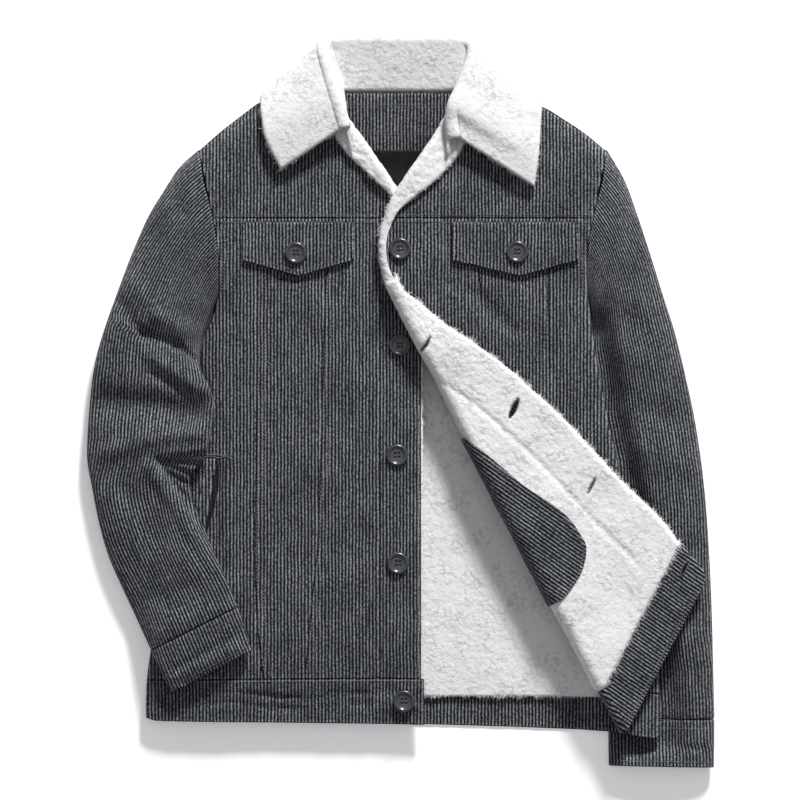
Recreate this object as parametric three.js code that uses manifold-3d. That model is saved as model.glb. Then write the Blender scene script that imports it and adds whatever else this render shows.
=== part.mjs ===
// A sherpa lined corduroy jacket lying on its back, its right front turned open from the second button down.
// Sizes are millimetres. The tables are laid out as on a cutting table seen from above: x to the right,
// y down from the top edge, z up from the table. Left and right are as seen from above.

import * as THREE from 'three';
import { mergeVertices } from 'three/addons/utils/BufferGeometryUtils.js';
import Module from 'manifold-3d';

const { lerp: mix, clamp, smoothstep, degToRad } = THREE.MathUtils;
const wasm = await Module();
wasm.setup();

// Cloth thicknesses, measured from the middle of the corduroy shell
const CORDUROY = { low: -1, high: 1 };
const LINING = { low: 1.3, high: 6.3 };
const BAND = { low: -1.3, high: 1.3 };
const FACING = { low: 1.3, high: 3.3 };
const SEAM = 0.3;
const SEAM_HALF = SEAM / 2;

// The body's plan
const CENTRE_X = 403;
const YOKE_Y = 218;
const BODY = table('y left right', [
  [150, 204, 204], [182, 199, 199], [214, 191, 191], [250, 185, 185], [284, 184, 184],
  [300, 185.5, 185.5], [315, 189, 187.2], [340, 199, 190.5], [375, 204, 196], [420, 209, 205],
  [480, 218, 218], [575, 237, 237], [672, 255, 255], [745, 257, 257],
]);
const SHOULDER = table('out y', [[72, 86], [100, 92], [141, 107], [160, 119], [181, 133], [204, 152]]);
const OUTER_SEAM = table('y out', [[218, 145], [285, 145], [450, 147], [600, 147], [678, 140]]);
const INNER_SEAM = table('y out', [[222, 70], [285, 77], [380, 80], [540, 85], [600, 91], [678, 98]]);
const BAND_TOP = table('x y', [[150, 680], [300, 679], [424, 679], [610, 688], [660, 694]]);
const HEM = table('x y', [
  [146, 718], [156, 721], [300, 723], [424, 725], [610, 732], [652, 738], [660, 736],
]);
const NECK = { y: 92.5, out: 66 };

// The body's heights: the middle of each front over the table, down its length
const LOFT_LEFT = table('y z', [
  [60, 14], [110, 18], [160, 22], [220, 24], [400, 24], [560, 25], [660, 22], [700, 18], [745, 14],
]);
const LOFT_RIGHT = table('y z', [
  [60, 14], [110, 18], [160, 22], [220, 24], [400, 25], [560, 25.6], [745, 25.6],
]);
const BACK_Z = 1;
const SEAM_Z = 10;
const SEAM_SPLIT = 1.1;
const FRONT_REACH = { side: 30, shoulder: 26 };
const BACK_REACH = { side: 16, shoulder: 16 };
const ARMPIT = { top: 240, bottom: 330 };
const COLLAR_BED = { x: 398, wide: 175, soft: 40, y: 132, end: 175, high: 7.4 };
const OVERLAP = { x: 425, clear: 465, top: 110, full: 180, bottom: 335, end: 415, high: 5 };
const UNDERLAP = { clear: 340, x: 378, top: 165, full: 200, bottom: 335, end: 415, low: 4 };

// The right side lies on the right sleeve, and the left forearm lies on the left side
const SLEEVE_UNDER = { top: 285, full: 335, high: 9.4, seam: 7, before: 30, clear: 4 };
const SLEEVE_OVER = { top: 335, full: 390, before: 30, past: 20, clear: 3 };
const PRESSED = { high: 8, near: 6, far: 30, bottom: 742, end: 762 };

// The fold along which the right front is turned back, and how the turned part lies
const FOLD = { x: 396, y: 285, lean: degToRad(27.43), radius: 5 };
const FOLD_ALONG = { x: Math.sin(FOLD.lean), y: Math.cos(FOLD.lean) };
const FOLD_ACROSS = { x: Math.cos(FOLD.lean), y: -Math.sin(FOLD.lean) };
const HALF_TURN = Math.PI * FOLD.radius;
const FOLD_EDGE = FOLD.radius + LINING.high;
const FLAP_REST = { near: 36, far: 31.5, from: 120, to: 300, reach: 70 };
const WEFT_SLANT = 0.697;
const TUCK = { start: -22, slack: 1.8 };
const FREE_EDGE = table('along wide', [
  [-6, 16], [12, 16], [33, 23], [69, 34.5], [106, 49], [159, 69], [208, 84],
  [256, 98], [354, 121], [417, 138], [453, 144], [492, 152.5], [501, 149],
]);
const TURNED_BAND = { top: 453, bottom: 501, low: -1, high: 3.2 };
const POCKET_BAG = table('along wide', [
  [172, 12], [200, 17], [236, 32], [280, 55], [308, 60], [321, 58.6], [339, 44], [350, 25], [355, 12],
]);
const POCKET_CLOTH = { low: 7, high: 8.6 };

// Rolled edges at the neck: the path of each roll, and how far the sherpa comes back over the corduroy
const ROLL = { radius: 4.4, low: -2.3, high: 2.3, under: 18 };
const LEFT_ROLL = table('x y wide', [
  [354, 126, 17], [362, 136, 21], [371, 149, 20], [381, 163, 17], [395, 184, 11],
]);
const RIGHT_ROLL = table('x y wide', [
  [438, 126, 21], [431, 139, 24], [414, 163, 23], [398, 187, 18],
  [387, 208, 12], [379, 236, 8], [379, 260, 7], [382, 275, 7],
]);

// The yokes: each line runs from the neck or shoulder down to the yoke seam
const YOKE_LEFT = table('x y foot', [
  [199, 150, 213], [223, 129, 232], [257, 103, 262], [290, 93, 292], [322, 84, 322],
  [335, 108, 335], [346, 124, 346], [357, 142, 357], [374, 168, 374], [380.35, 177, 380.35],
]);
const YOKE_RIGHT = table('x y foot', [
  [394, 211, 392.5], [405, 196, 400], [423, 170, 418], [441, 143, 434], [453, 120, 449],
  [461, 104, 464], [478, 86, 482], [505, 93, 508], [541, 106, 538], [583, 133, 566], [606.5, 152, 593],
]);
const FRONT_EDGE_RIGHT = table('y x', [
  [217, 392], [232, 388], [250, 386.5], [265, 387], [278, 391], [285, 396],
]);

// Where the panels beside the fold run out on it
const PANEL_FOOT = { centre: 447, mid: 578 };

// The left front's button placket
const PLACKET = { left: 380.65, right: 421, bandRight: 424 };
const UNDER_PLACKET = { left: 340, right: 422.5, top: 212, low: -6.3, high: -2.2 };
const PLACKET_TOP = table('x y', [[380, 177], [390, 190], [404, 203], [421, 212]]);

// The collar: its neck seam, roll and leaf's outer edge, from the left front round the back to the right
const COLLAR = table('sx sy sz rx ry rz ex ey ez', [
  [354, 148, 35, 347, 128, 38, 281, 170, 33],
  [347, 124, 33, 338, 98, 36, 266, 140, 32],
  [345, 108, 26, 331, 74, 31, 262, 118, 27],
  [343, 95, 17, 325, 52, 25, 261, 106, 19],
  [343, 91, 13.6, 325, 41, 17, 262, 95, 10],
  [348, 90.5, 10.5, 333, 37, 9.5, 280, 105, 3.8],
  [366, 90.5, 9.5, 360, 36, 9.2, 330, 122, 3.8],
  [398, 90.5, 9.5, 397, 36, 9.2, 398, 128, 3.8],
  [430, 90.5, 9.5, 434, 36, 9.2, 466, 122, 3.8],
  [449, 90.5, 10.5, 461, 37, 9.5, 516, 104, 3.8],
  [456, 90.5, 13.6, 472, 43, 17, 540, 93, 9],
  [458, 96, 17, 470, 58, 25, 541, 112, 22],
  [456, 110, 26, 459, 85, 31, 540, 132, 27],
  [452, 132, 33, 449, 109, 36, 538, 158, 32],
  [448, 154, 35, 453, 139, 38, 534, 187, 33],
]);
const COLLAR_HALF = 3;
const COLLAR_ROLL = 5;

// The sleeves: each row is a section from its outer to its inner edge, with its fullness at rest
const SLEEVE_LEFT = table('ox oy ix iy full', [
  [197, 149, 217.5, 298, 25], [178, 167, 211, 312, 25], [162, 192, 206, 325, 25], [147, 218, 201, 341, 25],
  [131, 255, 198.5, 352, 26], [117, 292, 197.5, 362, 27], [104, 329, 203, 375, 27], [95, 361, 211, 390, 27],
  [90, 396, 214, 408, 27], [87, 437, 210, 440, 27], [87, 462, 204, 458, 27], [92, 490, 190, 478, 27],
  [99, 525, 193, 500, 26], [108, 556, 206, 532, 25], [120, 584, 217, 558, 25], [134, 614, 228, 581, 24],
  [151, 650, 238, 606, 23],
]);
const CUFF_LEFT = { ox: 172, oy: 692, ix: 252, iy: 650, full: 22 };
const SLEEVE_RIGHT = table('ox oy ix iy full', [
  [609, 149, 588.5, 298, 25], [626, 180, 590, 308, 25], [638, 214, 591, 322, 25], [651, 255, 590.5, 340, 25],
  [664, 297, 588, 368, 25], [676, 335, 589, 400, 25], [688, 385, 589, 440, 24], [697, 430, 592, 480, 24],
  [705, 490, 596, 530, 24], [710, 560, 600, 590, 24], [712.5, 620, 603, 640, 24], [714, 680, 607, 690, 23],
  [715, 719, 609, 721, 22],
]);
const CUFF_RIGHT = { ox: 714.5, oy: 768, ix: 609, iy: 766, full: 21 };
const ARMHOLE_HUG = [1, 0.55, 0.25];
const HOLE_GAP = 1.6;
const AROUND = 16;
const SLEEVE_WALL = 2;
const CUFF_WALL = 2.6;
const CUFF_DOWN = [0.012, 0.5, 1];
const RIDING = 0.62;
const SECTION = { widest: 0.45, crown: 0.75, flat: 1.9 };
const SLEEVE_FOLDS = table('x0 y0 x1 y1 wide high', [
  [172, 466, 200, 461, 12, -10], [149, 447, 204, 441, 14, 4],
  [150, 340, 200, 366, 14, -5], [100, 415, 165, 422, 14, -4],
]);

// Chest pocket flaps, hand pocket welt and neck label
const POCKET_FLAP = { low: 1.4, high: 4 };
const FLAP_LEFT = { left: 243, right: 353, top: 222, tipX: 298 };
const FLAP_RIGHT = { left: 453, right: 577, top: 222, tipX: 519 };
const FLAP_DEPTH = { side: 39, tip: 54 };
const WELT = { x: 218.6, y: 458, foot: 207, end: 539, wide: 11, low: 1.3, high: 2.8 };
const LABEL = { left: 362, right: 436, low: 3.7, high: 4.7 };
const NECK_FACING = { left: 339, right: 461 };
const LINING_FOOT = 697;

// Buttons: 22 mm, rimmed, with four holes
const BUTTON = { radius: 11, rise: 0.3, hole: 1, holeOut: 2.3 };
const BUTTON_PROFILE = table('radius high', [
  [0, 0], [9.4, 0], [11, 1.1], [11, 2.2], [9.6, 3.3], [7.6, 2.3], [0, 2],
]);
const FRONT_BUTTONS = table('x y', [[400, 249], [400, 345], [397, 455], [398, 563], [404, 701]]);
const FLAP_BUTTONS = { left: { x: 296, y: 253 }, right: { x: 517, y: 252 } };

const cloth = new THREE.MeshStandardMaterial({ color: 0x54575c, roughness: 0.95, metalness: 0 });
const sherpa = new THREE.MeshStandardMaterial({ color: 0xe9e9e8, roughness: 1, metalness: 0 });
const plastic = new THREE.MeshStandardMaterial({ color: 0x4b4e53, roughness: 0.35, metalness: 0 });
const labelCloth = new THREE.MeshStandardMaterial({ color: 0x1c1d20, roughness: 0.8, metalness: 0 });
const jacket = new THREE.Group();

// Tables and curves

function table(names, rows) {
  const columns = names.split(' ');
  return rows.map((row) => Object.fromEntries(row.map((value, i) => [columns[i], value])));
}

// A smooth function through a table's rows, held level before the first and after the last
function curve(rows, at, give) {
  const last = rows.length - 1;
  const slopes = rows.map((row, i) => {
    const before = rows[Math.max(i - 1, 0)];
    const after = rows[Math.min(i + 1, last)];
    return (after[give] - before[give]) / (after[at] - before[at]);
  });
  return (value) => {
    if (value <= rows[0][at]) return rows[0][give];
    if (value >= rows[last][at]) return rows[last][give];
    const i = rows.findIndex((row) => row[at] > value) - 1;
    const span = rows[i + 1][at] - rows[i][at];
    const t = (value - rows[i][at]) / span;
    const ends = mix(rows[i][give], rows[i + 1][give], t * t * (3 - 2 * t));
    return ends + span * t * (1 - t) * (slopes[i] * (1 - t) - slopes[i + 1] * t);
  };
}

// Fractions from 0 to 1 in equal steps
const even = (steps) => Array.from({ length: steps + 1 }, (_, i) => i / steps);

const halfLeft = curve(BODY, 'y', 'left');
const halfRight = curve(BODY, 'y', 'right');
const shoulderY = curve(SHOULDER, 'out', 'y');
const outerSeam = curve(OUTER_SEAM, 'y', 'out');
const innerSeam = curve(INNER_SEAM, 'y', 'out');
const bandTop = curve(BAND_TOP, 'x', 'y');
const hem = curve(HEM, 'x', 'y');
const loftLeft = curve(LOFT_LEFT, 'y', 'z');
const loftRight = curve(LOFT_RIGHT, 'y', 'z');
const leftSide = (y) => CENTRE_X - halfLeft(y);
const rightSide = (y) => CENTRE_X + halfRight(y);
const sleeveInnerRight = curve(SLEEVE_RIGHT, 'iy', 'ix');
const place = (x, y, z) => new THREE.Vector3(x, -y, z);

// Heights of the body's cloth

// A quarter round: 0 on the edge, 1 from its reach inwards
const rise = (inwards, reach) => Math.sqrt(1 - (1 - clamp(inwards / reach, 0, 1)) ** 2);

// How far front and back have parted at a place: 0 on a side or shoulder seam, 1 in the open
function parted(x, y, reach) {
  const out = Math.abs(x - CENTRE_X);
  const inwards = (x < CENTRE_X ? halfLeft(y) : halfRight(y)) - out;
  const side = mix(1, rise(inwards, reach.side), smoothstep(y, ARMPIT.top, ARMPIT.bottom));
  const outward = smoothstep(out, NECK.out, SHOULDER[1].out);
  const shoulder = mix(1, rise(y - shoulderY(out), reach.shoulder), outward);
  return side * shoulder;
}

function seamZ(x, y) {
  const onSleeve = x > CENTRE_X ? smoothstep(y, SLEEVE_UNDER.top, SLEEVE_UNDER.full) : 0;
  return SEAM_Z + SLEEVE_UNDER.seam * onSleeve;
}

// How fully a stretch of height is reached: 1 between its full and bottom heights, 0 beyond its ends
const within = (y, { top, full, bottom, end }) => smoothstep(y, top, full) * (1 - smoothstep(y, bottom, end));

function frontLeft(x, y) {
  const underlap = smoothstep(x, UNDERLAP.clear, UNDERLAP.x) * within(y, UNDERLAP);
  return mix(seamZ(x, y) + SEAM_SPLIT, loftLeft(y), parted(x, y, FRONT_REACH)) - UNDERLAP.low * underlap;
}

function frontRight(x, y) {
  const overlap = (1 - smoothstep(x, OVERLAP.x, OVERLAP.clear)) * within(y, OVERLAP);
  return mix(seamZ(x, y) + SEAM_SPLIT, loftRight(y), parted(x, y, FRONT_REACH)) + OVERLAP.high * overlap;
}

function back(x, y) {
  const bed = smoothstep(COLLAR_BED.wide - Math.abs(x - COLLAR_BED.x), 0, COLLAR_BED.soft) *
    (1 - smoothstep(y, COLLAR_BED.y, COLLAR_BED.end));
  const inner = sleeveInnerRight(y);
  const onSleeve = smoothstep(x, inner - SLEEVE_UNDER.before, inner - SLEEVE_UNDER.clear) *
    smoothstep(y, SLEEVE_UNDER.top, SLEEVE_UNDER.full);
  const resting = BACK_Z + COLLAR_BED.high * bed + SLEEVE_UNDER.high * onSleeve;
  return mix(seamZ(x, y) - SEAM_SPLIT, resting, parted(x, y, BACK_REACH));
}

// A point of a height field, moved out from it square to its slope
function lifted(height, x, y, off) {
  const step = 1.5;
  const across = (height(x + step, y) - height(x - step, y)) / (2 * step);
  const down = (height(x, y + step) - height(x, y - step)) / (2 * step);
  const outwards = new THREE.Vector3(-across, down, 1).normalize();
  return place(x, y, height(x, y)).addScaledVector(outwards, off);
}

// Solids from grids of points

// The closed solid between two grids, either open at its four edges or closed round on itself along its rows
function between(low, high, closed = false) {
  const rows = low.length;
  const columns = low[0].length;
  const lift = rows * columns;
  const index = [];
  const quad = (a, b, c, d) => index.push(a, b, c, a, c, d);
  const steps = closed ? columns : columns - 1;
  for (let j = 0; j < steps; j += 1) {
    const next = (j + 1) % columns;
    for (let i = 0; i < rows - 1; i += 1) {
      const [a, b] = [i * columns + j, i * columns + next];
      const [c, d] = [b + columns, a + columns];
      quad(a, b, c, d);
      quad(lift + a, lift + d, lift + c, lift + b);
    }
    const [first, second] = [(rows - 1) * columns + j, (rows - 1) * columns + next];
    quad(next, j, lift + j, lift + next);
    quad(first, second, lift + second, lift + first);
  }
  for (let i = 0; i < rows - 1 && !closed; i += 1) {
    const [start, end] = [i * columns, (i + 1) * columns - 1];
    quad(start, start + columns, lift + start + columns, lift + start);
    quad(end + columns, end, lift + end, lift + end + columns);
  }
  const points = [...low.flat(), ...high.flat()];
  const geometry = new THREE.BufferGeometry().setFromPoints(points);
  geometry.setIndex(volume(points, index) < 0 ? index.reverse() : index);
  return geometry;
}

function volume(points, index) {
  let total = 0;
  for (let i = 0; i < index.length; i += 3) {
    const [a, b, c] = index.slice(i, i + 3).map((k) => points[k]);
    total += a.dot(b.clone().cross(c));
  }
  return total;
}

// A grid moved out square to itself
function offsetGrid(grid, off, closed = false) {
  const columns = grid[0].length;
  const at = (i, j) => {
    const row = grid[clamp(i, 0, grid.length - 1)];
    return row[closed ? (j + columns) % columns : clamp(j, 0, columns - 1)];
  };
  return grid.map((row, i) => row.map((point, j) => {
    const along = at(i + 1, j).clone().sub(at(i - 1, j));
    const across = at(i, j + 1).clone().sub(at(i, j - 1));
    return point.clone().addScaledVector(along.cross(across).normalize(), off);
  }));
}

// A plan grid between two side edges x(y) and a top and a bottom edge y(x)
function cut(left, right, top, bottom, down, across) {
  const passes = 8;
  return down.map((v) => across.map((u) => {
    let x = mix(left(YOKE_Y), right(YOKE_Y), u);
    let y = mix(top(x), bottom(x), v);
    for (let pass = 0; pass < passes; pass += 1) {
      x = mix(left(y), right(y), u);
      y = mix(top(x), bottom(x), v);
    }
    return [x, y];
  }));
}

// A plan grid whose lines run straight from the rows of a table down to the yoke seam
function yokePlan(rows, down) {
  return down.map((v) => rows.map(({ x, y, foot }) => [mix(x, foot, v), mix(y, YOKE_Y, v)]));
}

function sheet(plan, height, { low, high }) {
  const grid = (off) => plan.map((row) => row.map(([x, y]) => lifted(height, x, y, off)));
  return between(grid(low), grid(high));
}

function add(name, geometry, material) {
  const mesh = new THREE.Mesh(geometry, material);
  mesh.name = name;
  jacket.add(mesh);
  return mesh;
}

// Where the grids are close together: at a shoulder, at the left side and at both sides
const FROM_SHOULDER = [0, 0.03, 0.09, 0.22, 0.34, 0.45, 0.57, 0.72, 1];
const LABEL_DOWN = [0.45, 0.57, 0.72, 0.89];
const FROM_LEFT = [0, 0.05, 0.15, 0.35, 0.65, 1];
const BESIDE_SLEEVE = [0, 0.07, 0.14, 0.2, 0.26, 0.34, 0.45, 0.6, 0.74, 0.86, 0.94, 1];
const FROM_RIGHT = FROM_LEFT.map((f) => 1 - f).reverse();
const BOTH_SIDES = [0, 0.012, 0.04, 0.09, 0.17, 0.27, 0.38, 0.5, 0.62, 0.73, 0.83, 0.91, 0.96, 0.988, 1];
const level = (y) => () => y;
const yokeFoot = level(YOKE_Y + SEAM);
const aboveBand = (x) => bandTop(x) - SEAM_HALF;
const belowBandTop = (x) => bandTop(x) + SEAM_HALF;

// The back: yoke, panel and waistband

function backTop(x) {
  const out = Math.abs(x - CENTRE_X);
  return mix(NECK.y, shoulderY(out), smoothstep(out, NECK.out, SHOULDER[0].out));
}

const yokeAcross = [0, 0.03, 0.1, 0.2, 0.3, 0.333, 0.41, 0.5, 0.59, 0.667, 0.7, 0.8, 0.9, 0.97, 1];
const backDown = [0, 0.07, 0.14, 0.21, 0.28, 0.4, 0.55, 0.7, 0.85, 1];
const backYokePlan = cut(leftSide, rightSide, backTop, level(YOKE_Y), FROM_SHOULDER, yokeAcross);
const backPanelPlan = cut(leftSide, rightSide, yokeFoot, aboveBand, backDown, BOTH_SIDES);
const backBandPlan = cut(leftSide, rightSide, belowBandTop, hem, even(2), BOTH_SIDES);
add('back_yoke', sheet(backYokePlan, back, CORDUROY), cloth);
add('back_panel', sheet(backPanelPlan, back, CORDUROY), cloth);
add('waistband_back', sheet(backBandPlan, back, CORDUROY), cloth);

// Inside the back: sherpa lining, corduroy neck facing and label

const liningAcross = BOTH_SIDES.slice(2, -2);
const liningPlan = [
  ...cut(leftSide, rightSide, yokeFoot, aboveBand, backDown, liningAcross),
  ...cut(leftSide, rightSide, yokeFoot, level(LINING_FOOT), [1], liningAcross),
];
add('back_lining', sheet(liningPlan, back, LINING), sherpa);

// A plan grid on the yoke, as deep as it
function onYoke({ left, right }, down) {
  return cut(level(left), level(right), level(NECK.y), level(YOKE_Y), down, even(4));
}

add('neck_facing', sheet(onYoke(NECK_FACING, FROM_SHOULDER), back, FACING), cloth);
add('neck_label', sheet(onYoke(LABEL, LABEL_DOWN), back, LABEL), labelCloth);

// The left front: yoke, three panels, placket and waistband, with the sherpa facing under its free edge

const leftOuter = (y) => CENTRE_X - outerSeam(y);
const leftInner = (y) => CENTRE_X - innerSeam(y);
const beside = (edge, gap) => (y) => edge(y) + gap;
const panelDown = even(9);
add('front_yoke_left', sheet(yokePlan(YOKE_LEFT, FROM_SHOULDER), frontLeft, CORDUROY), cloth);

function leftPanel(name, left, right, across, down = panelDown) {
  const plan = cut(left, right, yokeFoot, aboveBand, down, across);
  add(name, sheet(plan, frontLeft, CORDUROY), cloth);
}

leftPanel('side_panel_left', leftSide, beside(leftOuter, -SEAM_HALF), FROM_LEFT, BESIDE_SLEEVE);
leftPanel('mid_panel_left', beside(leftOuter, SEAM_HALF), beside(leftInner, -SEAM_HALF), even(4));
leftPanel('centre_panel_left', beside(leftInner, SEAM_HALF), level(PLACKET.left - SEAM), even(3));
const placketPlan = cut(
  level(PLACKET.left), level(PLACKET.right), curve(PLACKET_TOP, 'x', 'y'), aboveBand, even(9), even(3),
);
add('placket_left', sheet(placketPlan, frontLeft, CORDUROY), cloth);
const bandAcross = [0, 0.012, 0.04, 0.09, 0.2, 0.4, 0.6, 0.8, 1];
const leftBandPlan = cut(leftSide, level(PLACKET.bandRight), belowBandTop, hem, even(2), bandAcross);
add('waistband_front_left', sheet(leftBandPlan, frontLeft, BAND), cloth);
const facingPlan = cut(
  level(UNDER_PLACKET.left), level(UNDER_PLACKET.right), level(UNDER_PLACKET.top), aboveBand,
  panelDown, even(3),
);
add('front_lining_left', sheet(facingPlan, frontLeft, UNDER_PLACKET), sherpa);

// The right front as far as its fold: yoke, three panels and waistband

const foldX = (y) => FOLD.x + (y - FOLD.y) * Math.tan(FOLD.lean);
const edgeRight = curve(FRONT_EDGE_RIGHT, 'y', 'x');
const rightEdge = (y) => (y < FOLD.y ? edgeRight(y) : foldX(y));
const rightInner = (y) => CENTRE_X + innerSeam(y);
const rightOuter = (y) => CENTRE_X + outerSeam(y);
const pastFold = (seam) => (y) => Math.max(seam(y) + SEAM_HALF, foldX(y));
add('front_yoke_right', sheet(yokePlan(YOKE_RIGHT, FROM_SHOULDER), frontRight, CORDUROY), cloth);

function rightPanel(name, left, right, bottom, down, across) {
  const plan = cut(left, right, yokeFoot, bottom, down, across);
  add(name, sheet(plan, frontRight, CORDUROY), cloth);
}

const centreLevels = [YOKE_Y + SEAM, 242, 265, 288, 312, 332, 348, 364, 382, 401, 423, PANEL_FOOT.centre];
const midLevels = [...centreLevels, 490, 535, PANEL_FOOT.mid];
const fractions = (levels) => levels.map((y) => (y - levels[0]) / (levels[levels.length - 1] - levels[0]));
rightPanel(
  'centre_panel_right', rightEdge, beside(rightInner, -SEAM_HALF), level(PANEL_FOOT.centre),
  fractions(centreLevels), even(8),
);
rightPanel(
  'mid_panel_right', pastFold(rightInner), beside(rightOuter, -SEAM_HALF), level(PANEL_FOOT.mid),
  fractions(midLevels), even(4),
);
rightPanel('side_panel_right', pastFold(rightOuter), rightSide, aboveBand, backDown, FROM_RIGHT);
const rightBandPlan = cut(
  beside(foldX, SEAM), rightSide, belowBandTop, hem, even(2), [0, 0.35, 0.65, 0.88, 1],
);
add('waistband_front_right', sheet(rightBandPlan, frontRight, BAND), cloth);

// The turned part of the right front: its place follows how far along the fold and round the turn it is

const freeEdge = curve(FREE_EDGE, 'along', 'wide');

function turned(along, round, off) {
  const axis = { x: FOLD.x + FOLD_ALONG.x * along, y: FOLD.y + FOLD_ALONG.y * along };
  const from = (distance) => [axis.x + FOLD_ACROSS.x * distance, axis.y + FOLD_ACROSS.y * distance];
  if (round < 0) return lifted(frontRight, ...from(-round), -off - TUCK.slack * (round / TUCK.start));
  const low = frontRight(axis.x, axis.y);
  const radius = FOLD.radius + off;
  if (round < HALF_TURN) {
    const angle = round / FOLD.radius;
    return place(...from(-radius * Math.sin(angle)), low + FOLD.radius - radius * Math.cos(angle));
  }
  const out = round - HALF_TURN;
  const rest = mix(FLAP_REST.near, FLAP_REST.far, smoothstep(along, FLAP_REST.from, FLAP_REST.to));
  const high = mix(low + 2 * FOLD.radius, rest, smoothstep(out, 0, FLAP_REST.reach));
  return place(...from(out), high + off);
}

const BEND_STEPS = even(6).map((f) => f * HALF_TURN);
const FLAP_STEPS = [0.1, 0.28, 0.5, 0.75, 1];

// Rows of the turned part follow its weft, which slants back from the fold
function turnedSheet(rows, { low, high }, { start, short = 0 }) {
  const under = start < 0 ? [start, start / 2] : [];
  const bend = BEND_STEPS.map((round) => Math.max(round, start));
  const grid = (off) => rows.map((row) => {
    const reach = freeEdge(row) - FOLD_EDGE - short;
    const rounds = [...under, ...bend, ...FLAP_STEPS.map((f) => HALF_TURN + f * reach)];
    return rounds.map((round) => turned(row - WEFT_SLANT * Math.max(round - HALF_TURN, 0), round, off));
  });
  return between(grid(low), grid(high));
}

const turnedRows = [
  -6, 8, 22, 40, 70, 106, 128, 150, 200, 256, 305, 354, 400, 430, TURNED_BAND.top - SEAM_HALF,
];
const turnedBandRows = [TURNED_BAND.top + SEAM_HALF, 469, 485, 494, TURNED_BAND.bottom];
add('front_turned', turnedSheet(turnedRows, CORDUROY, { start: SEAM, short: 2 }), cloth);
add('lining_turned', turnedSheet(turnedRows, LINING, { start: TUCK.start }), sherpa);
add('waistband_turned', turnedSheet(turnedBandRows, TURNED_BAND, { start: SEAM }), cloth);

const bagGrid = (off) => POCKET_BAG.map(({ along, wide }) => {
  const flap = [0.25, 0.5, 0.75, 1].map((f) => HALF_TURN + f * (wide - FOLD_EDGE));
  return [...BEND_STEPS.slice(2), ...flap].map((round) => turned(along, round, off));
});
add('pocket_bag', between(bagGrid(POCKET_CLOTH.low), bagGrid(POCKET_CLOTH.high)), cloth);

// Sherpa rolled over the neck edges of both fronts

function rolledEdge(rows, height, side) {
  const path = rows.map(({ x, y }) => new THREE.Vector2(x, y));
  const grid = (off) => rows.map(({ wide }, i) => {
    const tangent = path[Math.min(i + 1, path.length - 1)].clone().sub(path[Math.max(i - 1, 0)]).normalize();
    const inwards = new THREE.Vector2(-tangent.y, tangent.x).multiplyScalar(side);
    const centre = path[i].clone().addScaledVector(inwards, ROLL.radius + ROLL.high);
    const at = (distance) => [centre.x + inwards.x * distance, centre.y + inwards.y * distance];
    const middle = height(...at(0));
    const radius = ROLL.radius + off;
    const under = [1, 0.5].map((f) => lifted(height, ...at(f * ROLL.under), -radius));
    const bend = even(4).map((f) => {
      const angle = f * Math.PI;
      return place(...at(-radius * Math.sin(angle)), middle - radius * Math.cos(angle));
    });
    const reach = wide - ROLL.radius - ROLL.high;
    const over = [0.5, 1].map((f) => lifted(height, ...at(f * reach), radius));
    return [...under, ...bend, ...over];
  });
  return between(grid(ROLL.low), grid(ROLL.high));
}

add('lapel_left', rolledEdge(LEFT_ROLL, frontLeft, 1), sherpa);
add('lapel_right', rolledEdge(RIGHT_ROLL, frontRight, -1), sherpa);

// The collar: a stand from the neck seam up to the roll, and a leaf back down from it

function collarSection({ sx, sy, sz, rx, ry, rz, ex, ey, ez }, i) {
  const seam = place(sx, sy, sz);
  const roll = place(rx, ry, rz);
  const edge = place(ex, ey, ez);
  const before = COLLAR[Math.max(i - 1, 0)];
  const after = COLLAR[Math.min(i + 1, COLLAR.length - 1)];
  const along = place(after.rx, after.ry, after.rz).sub(place(before.rx, before.ry, before.rz)).normalize();
  const toSeam = seam.clone().sub(roll).projectOnPlane(along).normalize();
  const toEdge = edge.clone().sub(roll).projectOnPlane(along).normalize();
  const over = toEdge.clone().sub(toSeam).normalize();
  const tip = toEdge.clone().add(toSeam).normalize().negate();
  const centre = roll.clone().addScaledVector(tip, -COLLAR_ROLL);
  const bend = even(4).map((f) => {
    const angle = f * Math.PI;
    return centre.clone().addScaledVector(over, -COLLAR_ROLL * Math.cos(angle))
      .addScaledVector(tip, COLLAR_ROLL * Math.sin(angle));
  });
  const stand = [0, 0.33, 0.67].map((f) => seam.clone().lerp(bend[0], f));
  const leaf = [0.25, 0.5, 0.75, 1].map((f) => bend[4].clone().lerp(edge, f));
  return [...stand, ...bend, ...leaf];
}

// A grid with more rows, on smooth curves through the rows it has
function finer(grid, steps) {
  const through = (points) => new THREE.CatmullRomCurve3(points, false, 'centripetal');
  const lines = grid[0].map((_, j) => through(grid.map((row) => row[j])));
  return even((grid.length - 1) * steps).map((t) => lines.map((line) => line.getPoint(t)));
}

const collarGrid = finer(COLLAR.map(collarSection), 2);
add('collar', between(offsetGrid(collarGrid, -COLLAR_HALF), offsetGrid(collarGrid, COLLAR_HALF)), sherpa);

// The sleeves and cuffs

// How high the left forearm is carried by the body under it
function carried(x, y) {
  const over = smoothstep(x - leftSide(y), -SLEEVE_OVER.before, SLEEVE_OVER.past);
  return (loftLeft(y) + SLEEVE_OVER.clear) * over * smoothstep(y, SLEEVE_OVER.top, SLEEVE_OVER.full);
}

// How far the right sleeve is pressed down by the body on it
function pressed(x, y, top) {
  const free = smoothstep(x - rightSide(y), PRESSED.near, PRESSED.far);
  const under = within(y, { ...SLEEVE_UNDER, bottom: PRESSED.bottom, end: PRESSED.end });
  return mix(top, mix(PRESSED.high, top, free), under);
}

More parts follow.
